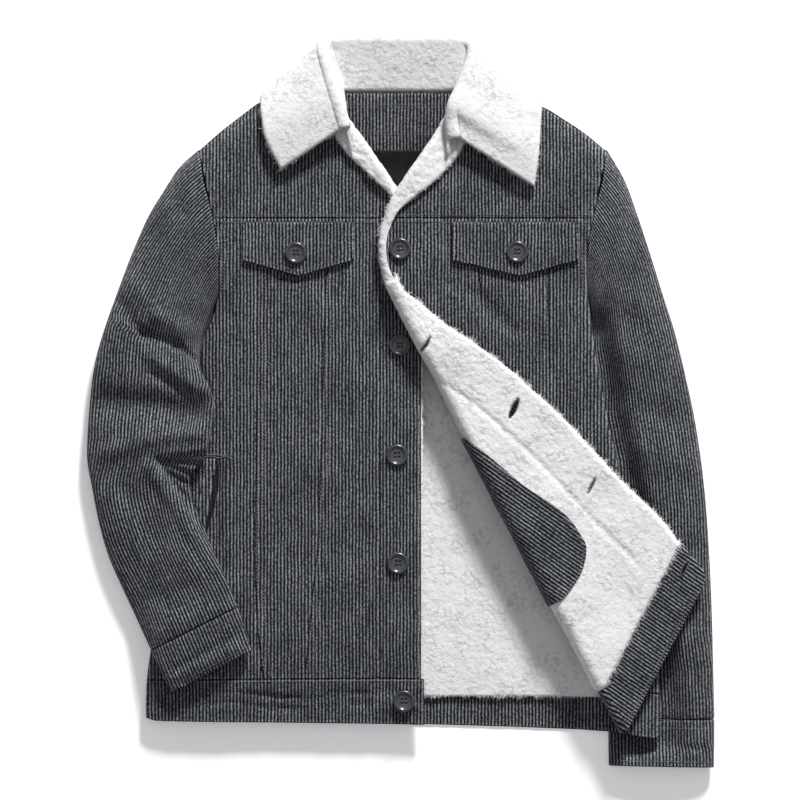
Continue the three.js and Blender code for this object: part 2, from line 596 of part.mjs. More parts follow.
// Folds: soft ridges and troughs along straight lines
function folds(x, y) {
  return SLEEVE_FOLDS.reduce((sum, { x0, y0, x1, y1, wide, high }) => {
    const [dx, dy] = [x1 - x0, y1 - y0];
    const t = clamp(((x - x0) * dx + (y - y0) * dy) / (dx * dx + dy * dy), 0, 1);
    const away = Math.hypot(x - x0 - t * dx, y - y0 - t * dy) / wide;
    return sum + high * Math.exp(-away * away);
  }, 0);
}

const leftSleeve = {
  front: frontLeft,
  side: leftSide,
  first: SLEEVE_LEFT[0],
  gap: -HOLE_GAP,
  bottom: carried,
  top: (x, y, full) => full + RIDING * carried(x, y) + folds(x, y),
};
const rightSleeve = {
  front: frontRight,
  side: rightSide,
  first: SLEEVE_RIGHT[0],
  gap: HOLE_GAP,
  bottom: () => 0,
  top: (x, y, full) => pressed(x, y, full),
};

// One closed section: from its outer edge over the top to its inner edge and back underneath
function sleeveSection(sleeve, row, hug) {
  return Array.from({ length: AROUND }, (_, j) => {
    const angle = (2 * Math.PI * j) / AROUND;
    const up = Math.sin(angle);
    const inwards = (1 - Math.cos(angle)) / 2;
    const { first } = sleeve;
    const holeY = mix(first.oy, first.iy, inwards);
    const holeX = sleeve.side(holeY) + sleeve.gap;
    const x = mix(row.ox, row.ix, inwards) + hug * (holeX - mix(first.ox, first.ix, inwards));
    const y = mix(row.oy, row.iy, inwards);
    const bottom = sleeve.bottom(x, y);
    const top = sleeve.top(x, y, row.full);
    const middle = mix(bottom, top, SECTION.widest);
    const under = Math.min(1, -SECTION.flat * up);
    const free = up > 0 ? mix(middle, top, up ** SECTION.crown) : mix(middle, bottom, under);
    const above = sleeve.front(holeX, holeY) + 1;
    const below = back(holeX, holeY) - 1;
    const half = Math.sign(Math.round(AROUND * up));
    const atHole = mix(below, above, (1 + half) / 2);
    return place(x, y, mix(free, atHole, hug));
  });
}

// The inside of a run of closed sections, a wall's thickness in
function inside(sections, wall) {
  const one = offsetGrid(sections, wall, true);
  const other = offsetGrid(sections, -wall, true);
  const girth = ([, row]) => row.reduce((sum, point, j) => sum + point.distanceTo(row[(j + 1) % AROUND]), 0);
  return girth(one) < girth(other) ? one : other;
}

// Half a run of closed sections, from its first column on, drawn in by half a seam along both edges
function halfRound(sections, first) {
  return sections.map((section) => {
    const half = even(AROUND / 2).map((f) => section[(first + (f * AROUND) / 2) % AROUND].clone());
    const drawIn = (edge, next) => edge.add(next.clone().sub(edge).setLength(SEAM_HALF));
    drawIn(half[0], half[1]);
    drawIn(half[half.length - 1], half[half.length - 2]);
    return half;
  });
}

// Each sleeve is a top and an under piece, sewn together along both edges, with a closed cuff
function sleevePieces(side, sleeve, rows, end) {
  const last = rows[rows.length - 1];
  const sections = rows.map((row, i) => sleeveSection(sleeve, row, ARMHOLE_HUG[i] ?? 0));
  const inner = inside(sections, SLEEVE_WALL);
  add(`sleeve_${side}_top`, between(halfRound(sections, 0), halfRound(inner, 0)), cloth);
  add(`sleeve_${side}_under`, between(halfRound(sections, AROUND / 2), halfRound(inner, AROUND / 2)), cloth);
  const cuff = CUFF_DOWN.map((f) => {
    const row = Object.fromEntries(Object.keys(last).map((key) => [key, mix(last[key], end[key], f)]));
    return sleeveSection(sleeve, row, 0);
  });
  add(`cuff_${side}`, between(cuff, inside(cuff, CUFF_WALL), true), cloth);
}

sleevePieces('left', leftSleeve, SLEEVE_LEFT, CUFF_LEFT);
sleevePieces('right', rightSleeve, SLEEVE_RIGHT, CUFF_RIGHT);

// Pocket flaps and welt

function pocketFlap(name, { left, right, top, tipX }, height) {
  const bottom = (x) => {
    const toTip = x < tipX ? (x - left) / (tipX - left) : (right - x) / (right - tipX);
    return top + mix(FLAP_DEPTH.side, FLAP_DEPTH.tip, smoothstep(toTip, 0, 1));
  };
  const plan = cut(level(left), level(right), level(top), bottom, even(3), even(8));
  return add(name, sheet(plan, height, POCKET_FLAP), cloth);
}

pocketFlap('flap_left', FLAP_LEFT, frontLeft);
pocketFlap('flap_right', FLAP_RIGHT, frontRight);

const weltRight = (y) => mix(WELT.x, WELT.foot, (y - WELT.y) / (WELT.end - WELT.y));
const weltLeft = beside(weltRight, -WELT.wide);
const weltPlan = cut(weltLeft, weltRight, level(WELT.y), level(WELT.end), even(4), even(2));
add('pocket_welt_left', sheet(weltPlan, frontLeft, WELT), cloth);

// Buttons

function solid(geometry) {
  geometry.deleteAttribute('normal');
  geometry.deleteAttribute('uv');
  const merged = mergeVertices(geometry, 1e-4);
  const index = Array.from(merged.index.array);
  const triangles = [];
  for (let i = 0; i < index.length; i += 3) {
    const [a, b, c] = index.slice(i, i + 3);
    if (a !== b && b !== c && c !== a) triangles.push(a, b, c);
  }
  const vertProperties = new Float32Array(merged.attributes.position.array);
  const triVerts = new Uint32Array(triangles);
  return new wasm.Manifold(new wasm.Mesh({ numProp: 3, vertProperties, triVerts }));
}

function buttonGeometry() {
  const profile = BUTTON_PROFILE.map(({ radius, high }) => new THREE.Vector2(radius, high));
  let button = solid(new THREE.LatheGeometry(profile, 14));
  for (const [x, z] of [[-1, -1], [-1, 1], [1, -1], [1, 1]]) {
    const hole = new THREE.CylinderGeometry(BUTTON.hole, BUTTON.hole, BUTTON.radius, 4);
    const out = BUTTON.holeOut / Math.SQRT2;
    button = button.subtract(solid(hole.translate(x * out, 0, z * out)));
  }
  const { vertProperties, triVerts } = button.getMesh();
  const geometry = new THREE.BufferGeometry();
  geometry.setAttribute('position', new THREE.BufferAttribute(vertProperties, 3));
  geometry.setIndex(new THREE.BufferAttribute(triVerts, 1));
  return geometry.rotateX(Math.PI / 2);
}

const button = buttonGeometry();

function addButton(name, { x, y }, height, over) {
  const heights = even(8).map((f) => {
    const angle = 2 * Math.PI * f;
    return height(x + BUTTON.radius * Math.cos(angle), y + BUTTON.radius * Math.sin(angle));
  });
  const top = Math.max(...heights);
  add(name, button, plastic).position.copy(place(x, y, top + over + BUTTON.rise));
}

FRONT_BUTTONS.forEach((at, i) => {
  const cover = i === 0 ? frontRight : frontLeft;
  addButton(`button_${i + 1}`, at, cover, i === FRONT_BUTTONS.length - 1 ? BAND.high : CORDUROY.high);
});
addButton('flap_button_left', FLAP_BUTTONS.left, frontLeft, POCKET_FLAP.high);
addButton('flap_button_right', FLAP_BUTTONS.right, frontRight, POCKET_FLAP.high);

// The origin is under the middle of the whole jacket, on the table
const box = new THREE.Box3().setFromObject(jacket);
const middle = box.getCenter(new THREE.Vector3());
jacket.position.set(-middle.x, -middle.y, -box.min.z);

export default jacket;
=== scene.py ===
"""A sherpa lined corduroy jacket lying on its back, its right front turned open from the second button down.

Shapes are worked out in millimetres as on a cutting table seen from above: x to the right, y down from the
top edge and z up. Grids of points hold (x, -y, z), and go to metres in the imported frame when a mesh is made.
Left and right are as seen from above.
"""

import bpy
import numpy as np
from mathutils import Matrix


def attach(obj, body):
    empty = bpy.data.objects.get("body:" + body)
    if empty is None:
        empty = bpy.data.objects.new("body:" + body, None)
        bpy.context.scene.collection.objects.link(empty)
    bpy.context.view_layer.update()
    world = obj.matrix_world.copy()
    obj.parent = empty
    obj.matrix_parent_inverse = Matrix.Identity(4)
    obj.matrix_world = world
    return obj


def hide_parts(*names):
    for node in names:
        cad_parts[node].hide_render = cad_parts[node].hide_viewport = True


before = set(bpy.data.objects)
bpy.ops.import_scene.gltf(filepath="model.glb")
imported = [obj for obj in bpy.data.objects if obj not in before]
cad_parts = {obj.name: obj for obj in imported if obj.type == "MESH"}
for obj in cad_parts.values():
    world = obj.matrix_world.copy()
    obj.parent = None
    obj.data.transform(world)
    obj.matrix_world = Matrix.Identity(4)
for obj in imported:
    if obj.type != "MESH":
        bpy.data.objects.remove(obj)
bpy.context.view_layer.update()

# The back
# A yoke, one wide panel and a waistband of charcoal cotton corduroy, their wales running from shoulder to
# hem, sewn together flat. The back is what the jacket lies on, so it lies flat except by the sleeves, seams
# and collar.

PART_CENTRE = np.array([401.0, -400.582, 0.0])
CENTRE_X = 403
YOKE_Y = 218
PANEL_TOP = 218.3
SEAM_HALF = 0.15


def through(*points):
    """A smooth line through (at, give) pairs, level before the first and after the last. In a span it is
    the eased mix of both ends plus span * t (1 - t) times (first slope (1 - t) - last slope t)."""
    at, give = np.array(points, float).T
    reach = np.append(at[1:], at[-1]) - np.append(at[0], at[:-1])
    slopes = (np.append(give[1:], give[-1]) - np.append(give[0], give[:-1])) / reach

    def line(value):
        value = np.clip(value, at[0], at[-1])
        i = np.clip(np.searchsorted(at, value, side="right") - 1, 0, len(at) - 2)
        span = at[i + 1] - at[i]
        t = (value - at[i]) / span
        ends = give[i] + (give[i + 1] - give[i]) * t * t * (3 - 2 * t)
        return ends + span * t * (1 - t) * (slopes[i] * (1 - t) - slopes[i + 1] * t)

    return line


def ease(value, start, end):
    """0 up to start, 1 from end on, and t t (3 - 2 t) between."""
    t = np.clip((value - start) / (end - start), 0, 1)
    return t * t * (3 - 2 * t)


def mix(a, b, t):
    """a at t = 0, b at t = 1, straight between."""
    return a + (b - a) * t


half_left = through(
    (150, 204), (182, 199), (214, 191), (250, 185), (284, 184), (300, 185.5), (315, 189), (340, 199),
    (375, 204), (420, 209), (480, 218), (575, 237), (672, 255), (745, 257),
)
half_right = through(
    (150, 204), (182, 199), (214, 191), (250, 185), (284, 184), (300, 185.5), (315, 187.2), (340, 190.5),
    (375, 196), (420, 205), (480, 218), (575, 237), (672, 255), (745, 257),
)
shoulder_y = through((72, 86), (100, 92), (141, 107), (160, 119), (181, 133), (204, 152))
band_top = through((150, 680), (300, 679), (424, 679), (610, 688), (660, 694))
hem = through((146, 718), (156, 721), (300, 723), (424, 725), (610, 732), (652, 738), (660, 736))
sleeve_inner_right = through(
    (298, 588.5), (308, 590), (322, 591), (340, 590.5), (368, 588), (400, 589), (440, 589), (480, 592),
    (530, 596), (590, 600), (640, 603), (690, 607), (721, 609),
)


def from_centre(side, line):
    """The edge x(y) at a line's distance from the centre: to the left for side -1, to the right for 1."""
    return lambda y: CENTRE_X + side * line(y)


def beside(edge, gap):
    return lambda at: edge(at) + gap


def up_to(seam):
    return beside(seam, -SEAM_HALF)


def on_from(seam):
    return beside(seam, SEAM_HALF)


left_side, right_side = from_centre(-1, half_left), from_centre(1, half_right)
above_band, below_band_top = up_to(band_top), on_from(band_top)


def rise(inwards, reach):
    """A quarter round: 0 on the edge and 1 from reach inwards."""
    return np.sqrt(1 - (1 - np.clip(inwards / reach, 0, 1)) ** 2)


def parted(x, y, side_reach, shoulder_reach):
    """How far front and back have parted: 0 on a side or shoulder seam, 1 in the open, the product of a
    quarter round in from the side seam, below the armpit only, and one down from the shoulder seam, outside
    the neck only."""
    out = np.abs(x - CENTRE_X)
    inwards = np.where(x < CENTRE_X, half_left(y), half_right(y)) - out
    side = mix(1, rise(inwards, side_reach), ease(y, 240, 330))
    return side * mix(1, rise(y - shoulder_y(out), shoulder_reach), ease(out, 66, 100))


def seam_z(x, y):
    """The height of the side seams: 10, and 7 more where the right side lies on its sleeve."""
    return 10 + 7 * np.where(x > CENTRE_X, ease(y, 285, 335), 0)


def back(x, y):
    """The middle of the back's cloth: 1 where it rests, raised on the collar's leaf and on the right
    sleeve, and up to just under the seams' height at the seams."""
    bed = ease(175 - np.abs(x - 398), 0, 40) * (1 - ease(y, 132, 175))
    inner = sleeve_inner_right(y)
    on_sleeve = ease(x, inner - 30, inner - 4) * ease(y, 285, 335)
    return mix(seam_z(x, y) - 1.1, 1 + 7.4 * bed + 9.4 * on_sleeve, parted(x, y, 16, 16))


def lifted(height, x, y, off):
    """A point of a height field moved out square to its slope, by off times unit(-dz/dx, dz/dy, 1)."""
    step = 1.5
    across = (height(x + step, y) - height(x - step, y)) / (2 * step)
    down = (height(x, y + step) - height(x, y - step)) / (2 * step)
    size = np.sqrt(across**2 + down**2 + 1)
    return np.stack([x - off * across / size, -y + off * down / size, height(x, y) + off / size], -1)


def spaced(length, step):
    """Fractions from 0 to 1 along a length: closer in a border of 2.2 mm, then about a step apart."""
    border = np.array((0, 0.5, 1.2, 2.2)) / length
    steps = max(int(round((length - 2 * border[-1] * length) / step)), 1)
    inner = np.linspace(border[-1], 1 - border[-1], steps + 1)
    return np.concatenate([border[:-1], inner, 1 - border[:-1][::-1]])


def cut(left, right, top, bottom, down, across):
    """A plan grid between two side edges x(y) and a top and bottom edge y(x). Each of eight passes mixes x
    from the sides at the last y, and y from the top and bottom at the new x."""
    u, v = across[None, :], down[:, None]
    x = mix(left(YOKE_Y), right(YOKE_Y), u) + 0 * v
    y = mix(top(x), bottom(x), v)
    for _ in range(8):
        x = mix(left(y), right(y), u)
        y = mix(top(x), bottom(x), v)
    return x, y


def level(y):
    return lambda x: y + 0 * np.asarray(x, float)


def drift(x, y, size, seed):
    """Smooth noise from -1 to 1: random values on a square lattice of the given size, mixed by eased
    places."""
    lattice = np.random.default_rng(seed).uniform(-1, 1, (128, 128))
    x, y = np.asarray(x, float) / size, np.asarray(y, float) / size
    i, j = np.floor(x).astype(int), np.floor(y).astype(int)
    tx, ty = ease(x - i, 0, 1), ease(y - j, 0, 1)
    at = lambda di, dj: lattice[(i + di) % 128, (j + dj) % 128]
    return mix(mix(at(0, 0), at(1, 0), tx), mix(at(0, 1), at(1, 1), tx), ty)


def runs(grid, axis, closed=False):
    """Distance run along a grid's rows (axis 1) or down its columns (axis 0) from the first point."""
    if closed:
        grid = np.concatenate([grid, grid[:, :1]], 1)
    step = np.linalg.norm(np.diff(grid, axis=axis), axis=-1)
    start = np.zeros_like(step[:, :1] if axis else step[:1])
    return np.concatenate([start, np.cumsum(step, axis)], axis)


def from_edges(grid, closed=False):
    """Each point's distance from the nearest edge of its grid, measured along its row and its column."""
    down = runs(grid, 0)
    nearest = np.minimum(down, down[-1:] - down)
    if not closed:
        along = runs(grid, 1)
        nearest = np.minimum(nearest, np.minimum(along, along[:, -1:] - along))
    return nearest


def mesh_of(name, points, faces, uvs=None, marks=None):
    """A mesh object from points in millimetres, quads or triangles of one size, UVs per corner and values
    per point."""
    mesh = bpy.data.meshes.new(name)
    mesh.vertices.add(len(points))
    mesh.vertices.foreach_set("co", ((points - PART_CENTRE) / 1000).ravel())
    mesh.loops.add(faces.size)
    mesh.loops.foreach_set("vertex_index", faces.ravel())
    mesh.polygons.add(len(faces))
    mesh.polygons.foreach_set("loop_start", np.arange(0, faces.size, faces.shape[1]))
    mesh.polygons.foreach_set("use_smooth", np.ones(len(faces), bool))
    mesh.update(calc_edges=True)
    if uvs is not None:
        mesh.uv_layers.new(name="cloth").data.foreach_set("uv", uvs.reshape(-1, 2).ravel())
    for mark, values in (marks or {}).items():
        mesh.attributes.new(mark, "FLOAT", "POINT").data.foreach_set("value", np.ravel(values))
    mesh.validate()
    piece = bpy.data.objects.new(name, mesh)
    bpy.context.scene.collection.objects.link(piece)
    return piece


def slab(name, low, high, weave, closed=False, marks=None):
    """The closed solid between two grids, open at its four edges or closed round on itself along its rows.
    Each cell is a quad on both grids, and strips of quads join their borders. weave is each point's place
    on the cloth."""
    rows, columns = low.shape[:2]
    spans = columns if closed else columns - 1

    def corners(i, j, high_side, order):
        i, j = np.broadcast_arrays(i, j)
        steps = [(i + di, j + dj, side) for (di, dj, side) in order]
        points = [side * rows * columns + a * columns + b % columns for a, b, side in steps]
        places = [a * (spans + 1) + b for a, b, side in steps]
        return np.stack(points, -1).reshape(-1, 4), np.stack(places, -1).reshape(-1, 4)

    i, j = np.arange(rows - 1)[:, None], np.arange(spans)[None, :]
    parts = [
        corners(i, j, 0, [(0, 0, 0), (0, 1, 0), (1, 1, 0), (1, 0, 0)]),
        corners(i, j, 1, [(0, 0, 1), (1, 0, 1), (1, 1, 1), (0, 1, 1)]),
        corners(np.array([[0]]), j, 0, [(0, 1, 0), (0, 0, 0), (0, 0, 1), (0, 1, 1)]),
        corners(np.array([[rows - 1]]), j, 0, [(0, 0, 0), (0, 1, 0), (0, 1, 1), (0, 0, 1)]),
    ]
    if not closed:
        parts.append(corners(i, np.array([[0]]), 0, [(0, 0, 0), (1, 0, 0), (1, 0, 1), (0, 0, 1)]))
        parts.append(corners(i, np.array([[spans]]), 0, [(1, 0, 0), (0, 0, 0), (0, 0, 1), (1, 0, 1)]))
    faces = np.concatenate([part[0] for part in parts])
    places = np.concatenate([part[1] for part in parts])
    points = np.concatenate([low.reshape(-1, 3), high.reshape(-1, 3)])
    a, b, c, d = (points[faces[:, k]] for k in range(4))
    if np.sum(a * np.cross(b, c)) + np.sum(a * np.cross(c, d)) < 0:
        faces, places = faces[:, ::-1], places[:, ::-1]
    both = {mark: np.concatenate([np.ravel(values)] * 2) for mark, values in (marks or {}).items()}
    return mesh_of(name, points, np.ascontiguousarray(faces), weave.reshape(-1, 2)[places], both)


def dressed(piece, look, node=None, flat=None):
    """Gives a piece the material of its look, and its place: it rides on the one body, and, given a node,
    hides the solid of the frame it stands for. The slot in look is not used. flat is a grid of the cloth as it
    was cut: its longest row, longest column and cells are measured, and not used further."""
    material, slot = look
    piece.data.materials.append(material)
    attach(piece, "root")
    if node:
        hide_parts(node)
    if flat is not None:
        wide, long = runs(flat, 1)[:, -1].max() / 1000, runs(flat, 0)[-1].max() / 1000
        cells = np.cross(flat[1:, 1:] - flat[:-1, :-1], flat[1:, :-1] - flat[:-1, 1:])
    return piece


class Wire:
    """One output of a shader node. Sums and products of wires and numbers add Math nodes."""

    def __init__(self, finish, socket):
        self.finish, self.socket = finish, socket

    def maths(self, operation, *others):
        return self.finish.node("ShaderNodeMath", {"operation": operation}, dict(enumerate([self, *others])))

    def __add__(self, other):
        return self.maths("ADD", other)

    def __sub__(self, other):
        return self.maths("SUBTRACT", other)

    def __rsub__(self, other):
        return self.maths("MULTIPLY", -1).maths("ADD", other)

    def __mul__(self, other):
        return self.maths("MULTIPLY", other)

    def __truediv__(self, other):
        return self.maths("DIVIDE", other)

    def __pow__(self, other):
        return self.maths("POWER", other)

    __radd__, __rmul__ = __add__, __mul__

    def sine(self):
        return self.maths("SINE")

    def size(self):
        return self.maths("ABSOLUTE")

    def within(self, start, end):
        """0 at start, 1 at end, held beyond both."""
        sockets = {"Value": self, "From Min": start, "From Max": end}
        return self.finish.node("ShaderNodeMapRange", {"clamp": True}, sockets)


class Finish:
    """A material being made."""

    def __init__(self, name):
        self.material = bpy.data.materials.new(name)
        self.material.use_nodes = True
        self.tree = self.material.node_tree
        self.shader = self.tree.nodes["Principled BSDF"]

    def node(self, kind, settings, sockets, output=0):
        """Adds a node: first its settings, with a ramp's stops among them, then its sockets' values or
        wires."""
        node = self.tree.nodes.new(kind)
        for name, value in settings.items():
            if name == "stops":
                ramp = node.color_ramp
                while len(ramp.elements) < len(value):
                    ramp.elements.new(1)
                for element, (place, colour) in zip(ramp.elements, value):
                    element.position, element.color = place, (*colour, 1)
            else:
                setattr(node, name, value)
        for name, value in sockets.items():
            self.join(self.socket(node.inputs, name), value)
        return Wire(self, self.socket(node.outputs, output))

    @staticmethod
    def socket(sockets, name):
        return sockets[name] if isinstance(name, int) else next(
            s for s in sockets if name in (s.identifier, s.name)
        )

    def join(self, socket, value):
        if isinstance(value, Wire):
            self.tree.links.new(value.socket, socket)
        elif hasattr(value, "__len__"):
            socket.default_value = (*value, 1)[: len(socket.default_value)]
        else:
            socket.default_value = value

    def set(self, **sockets):
        """Sets the shader's sockets by name, with _ for a space."""
        for name, value in sockets.items():
            self.join(self.shader.inputs[name.replace("_", " ")], value)

    def blend(self, factor, a, b, kind="MIX"):
        settings = {"data_type": "RGBA", "blend_type": kind}
        sockets = {"Factor_Float": factor, "A_Color": a, "B_Color": b}
        return self.node("ShaderNodeMix", settings, sockets, "Result_Color")

    def noise(self, vector, scale, detail=2.0, rough=0.5, output=0):
        sockets = {"Vector": vector, "Scale": scale, "Detail": detail, "Roughness": rough}
        return self.node("ShaderNodeTexNoise", {}, sockets, output)

    def place(self):
        """Places in the jacket, in metres."""
        return self.node("ShaderNodeTexCoord", {}, {}, "Object")

    def cloth(self):
        """Places on the cloth as it was cut, in millimetres."""
        return self.node("ShaderNodeUVMap", {"uv_map": "cloth"}, {})

    def stretched(self, vector, *scale):
        return self.node("ShaderNodeMapping", {}, {"Vector": vector, "Scale": scale})

    def part_of(self, vector, axis):
        return self.node("ShaderNodeSeparateXYZ", {}, {"Vector": vector}, axis)

    def ramp(self, factor, *stops):
        return self.node("ShaderNodeValToRGB", {"stops": stops}, {"Fac": factor})

    def bump(self, height, strength, distance):
        return self.node("ShaderNodeBump", {}, {"Strength": strength, "Distance": distance, "Height": height})

    def mark(self, name):
        return self.node("ShaderNodeAttribute", {"attribute_name": name}, {}, "Fac")


WALE_PITCH = 3.4


def corduroy_finish(name, shade=1.0):
    """Wales from the cloth's own map: height is |sin(pi across / WALE_PITCH)|, pulled a little off line by
    slow noise, streaked along its length, and broken into tufts by finer noise. Grooves are painted near black
    as shade and pile tops grey. Beside an edge the cloth is worn paler, and the last millimetre is painted
    dark as the shade in its seam."""
    f = Finish(name)
    cloth = f.cloth()
    across = f.part_of(cloth, "X")
    slow = f.noise(cloth, 0.035, 1.0)
    wander = f.noise(cloth, 0.35, 2.0)
    wale = ((across / WALE_PITCH + slow * 0.5 + wander * 0.22) * np.pi).sine().size()
    fibre = f.noise(f.stretched(cloth, 0.5, 0.36, 1), 1.0, 4.0, 0.68)
    streak = f.noise(f.stretched(cloth, 0.36, 0.035, 1), 1.0, 3.0, 0.6)
    patch = f.noise(cloth, 0.022, 4.0, 0.62)
    edge = f.mark("edge")
    worn = (1 - edge.within(0.6, 3.5)) * (fibre - 0.25) * 0.7
    # Painted shade: the last millimetre at a cut edge is darkened as the shade in its seam.
    seam_painted_shade = (1 - edge.within(0.2, 1.2)) * 0.45
    # The wale's height paints its top grey and its groove near black, as the shade in the groove.
    lit = wale ** 1.1 * 0.84 + (fibre - 0.5) * 1.5 + (streak - 0.5) * 0.5 + worn - seam_painted_shade
    pile = f.ramp(
        lit, (0.0, (0.0011, 0.0012, 0.0014)), (0.36, (0.005, 0.0054, 0.006)), (0.64, (0.075, 0.079, 0.087)),
        (1.0, (0.34, 0.354, 0.38)),
    )
    dye = f.ramp(patch, (0.3, (0.6 * shade, 0.61 * shade, 0.63 * shade)), (0.7, (1.0 * shade,) * 3))
    f.set(
        Base_Color=f.blend(1.0, pile, dye, "MULTIPLY"),
        Roughness=0.78 + fibre * 0.2,
        Normal=f.bump(wale ** 0.7 + fibre * 0.6, 1.0, 0.0009),
        Sheen_Weight=0.1,
        Sheen_Roughness=0.5,
        Specular_IOR_Level=0.12,
    )
    return f.material


CORDUROY = corduroy_finish("charcoal_corduroy"), "corduroy"


def shell(node, plan, height, low, high, phase=0, look=CORDUROY):
    """A cut of corduroy on a height field: low and high are its faces' distances from the field. Its edges
    roll off over 1.5 mm, and it puckers along its seams, by noise that fades over 5 mm from them. phase
    shifts its wales."""
    x, y = plan
    flat = np.stack([x, -y, 0 * x], -1)
    edge = from_edges(flat)
    roll = 0.7 * (1 - rise(edge, 1.5))
    pucker = 0.5 * np.exp(-edge / 5) * drift(x, y, 5, 11) * rise(edge, 1.5)
    weave = np.stack([x + phase, y], -1)
    piece = slab(
        node + "_cloth", lifted(height, x, y, low), lifted(height, x, y, high - roll + pucker), weave,
        marks={"edge": edge},
    )
    return dressed(piece, look, node, lifted(height, x, y, (low + high) / 2))


def back_top(x):
    out = np.abs(x - CENTRE_X)
    return mix(92.5, shoulder_y(out), ease(out, 66, 72))


for node, top, bottom, down in (
    ("back_yoke", back_top, level(YOKE_Y), spaced(126, 4)),
    ("back_panel", level(PANEL_TOP), above_band, spaced(460, 6)),
    ("waistband_back", below_band_top, hem, spaced(44, 4)),
):
    shell(node, cut(left_side, right_side, top, bottom, down, spaced(400, 4)), back, -1, 1)

# The lining of the back
# Off-white sherpa fleece, a knit with curled pile about 5 mm deep, sewn in from the yoke seam to the
# waistband. Its pile stands in small curls with grey creases between them, and its lower edge is ragged.

PILE_SEED = 5


def curls(u, v, size, seed):
    """Curled pile from 0 in a crease to 1 on a curl. Each cell of a jittered lattice has a middle, and a
    point's value is 1 - (distance to the nearest middle / 0.78 of a cell) squared. Places are first bent by
    noise."""
    u = u + 0.45 * size * drift(u, v, size * 0.9, seed + 1)
    v = v + 0.45 * size * drift(u, v, size * 0.9, seed + 2)
    jitter = np.random.default_rng(seed).uniform(0.1, 0.9, (2, 128, 128))
    u, v = u / size, v / size
    i, j = np.floor(u).astype(int), np.floor(v).astype(int)
    nearest = np.full(u.shape, 9.0)
    for di in (-1, 0, 1):
        for dj in (-1, 0, 1):
            a, b = i + di, j + dj
            at = jitter[:, a % 128, b % 128]
            nearest = np.minimum(nearest, (a + at[0] - u) ** 2 + (b + at[1] - v) ** 2)
    return np.clip(1 - nearest / 0.78**2, 0, 1)


def pile(u, v):
    """The depth of the fleece from 0 to 1: curls of 6.4 mm, and slow rises between clumps of them."""
    return np.clip(0.75 * curls(u, v, 6.4, PILE_SEED) + 0.25 * (0.5 + 0.5 * drift(u, v, 15, 3)), 0, 1)


def sherpa_finish(name, shade=1.0):
    """Curls are cells of 3.9 and 2.1 mm on places in the jacket, bent by noise: a curl's height is 1 less
    the squared distance to its cell's middle, so it is a rounded lump between soft creases. Tops are
    off-white and creases are painted grey as shade, and slow noise opens the creases in some places and
    closes them in others. The tops of fine curls and the higher pile of the pile mark are painted lighter,
    and shade scales all tones."""
    f = Finish(name)
    place = f.place()
    bend = f.noise(place, 230, 2.0, 0.65, "Color")
    bent = f.node(
        "ShaderNodeVectorMath", {"operation": "MULTIPLY_ADD"}, {0: bend, 1: (0.005, 0.005, 0.005), 2: place}
    )

    def curl(size):
        sockets = {"Vector": bent, "Scale": 1000 / size}
        return 1 - f.node("ShaderNodeTexVoronoi", {"feature": "F1"}, sockets, "Distance") ** 2

    coarse, fine = curl(3.9), curl(2.1)
    fibre = f.noise(place, 1500, 2.0, 0.7)
    slow = f.noise(place, 26, 2.0)
    open_ = f.noise(place, 60, 2.0).within(0.38, 0.66)
    height = coarse * (open_ * 0.7 + 0.45) + fine * 0.4
    painted_crease_shade = (1 - coarse).within(0.13, 0.42) * (open_ * 0.65 + 0.35)
    # Painted shade and light: creases darker, fine curl tops and high pile lighter.
    lit = 0.83 - painted_crease_shade * 0.3 + fine * 0.05 + f.mark("pile") * 0.08
    lit = lit + (fibre - 0.5) * 0.14 + (slow - 0.5) * 0.16
    tones = [
        (0.42, (0.38, 0.384, 0.388)), (0.62, (0.58, 0.583, 0.585)), (0.78, (0.71, 0.71, 0.708)),
        (0.95, (0.75, 0.749, 0.745)),
    ]
    f.set(
        Base_Color=f.ramp(lit, *((stop, tuple(shade * level for level in tone)) for stop, tone in tones)),
        Roughness=0.85 + fibre * 0.15,
        Normal=f.bump(height + fibre * 0.15, 0.8, 0.00055),
        Sheen_Weight=0.15,
        Sheen_Roughness=0.6,
        Specular_IOR_Level=0.1,
    )
    return f.material


SHERPA = sherpa_finish("off_white_sherpa"), "sherpa"
# A darker copy of the sherpa, at 0.88 of its tones: painted shade for the collar and lapels.
COLLAR_SHERPA_PAINTED_SHADE = sherpa_finish("off_white_sherpa_painted_shade", 0.88), "sherpa"


def offset(grid, off, closed=False):
    """A grid moved out square to itself: along the cross product of its down and its across steps."""
    down = np.gradient(grid, axis=0)
    if closed:
        across = np.roll(grid, -1, 1) - np.roll(grid, 1, 1)
    else:
        across = np.gradient(grid, axis=1)
    square = np.cross(down, across)
    square /= np.maximum(np.linalg.norm(square, axis=-1, keepdims=True), 1e-9)
    return grid + square * np.asarray(off)[..., None] if np.ndim(off) else grid + square * off


def facing_up(grid):
    """1 where a grid's own square direction points up on the whole, -1 where it points down."""
    square = np.cross(np.gradient(grid, axis=0), np.gradient(grid, axis=1))
    return 1 if square[..., 2].sum() > 0 else -1


def between_steps(*stops):
    """Numbers from the first stop to the last. Each span is cut in steps of about its start's size."""
    parts = [
        np.linspace(start, end, max(int(round((end - start) / step)), 1), endpoint=False)
        for (start, step), (end, _) in zip(stops, stops[1:])
    ]
    return np.concatenate([*parts, [stops[-1][0]]])


def unit(vectors):
    return vectors / np.maximum(np.linalg.norm(vectors, axis=-1, keepdims=True), 1e-9)


def points_at(line, run, at):
    """The points of a line at given distances along it."""
    return np.stack([np.interp(at, run, line[:, k]) for k in range(3)], -1)


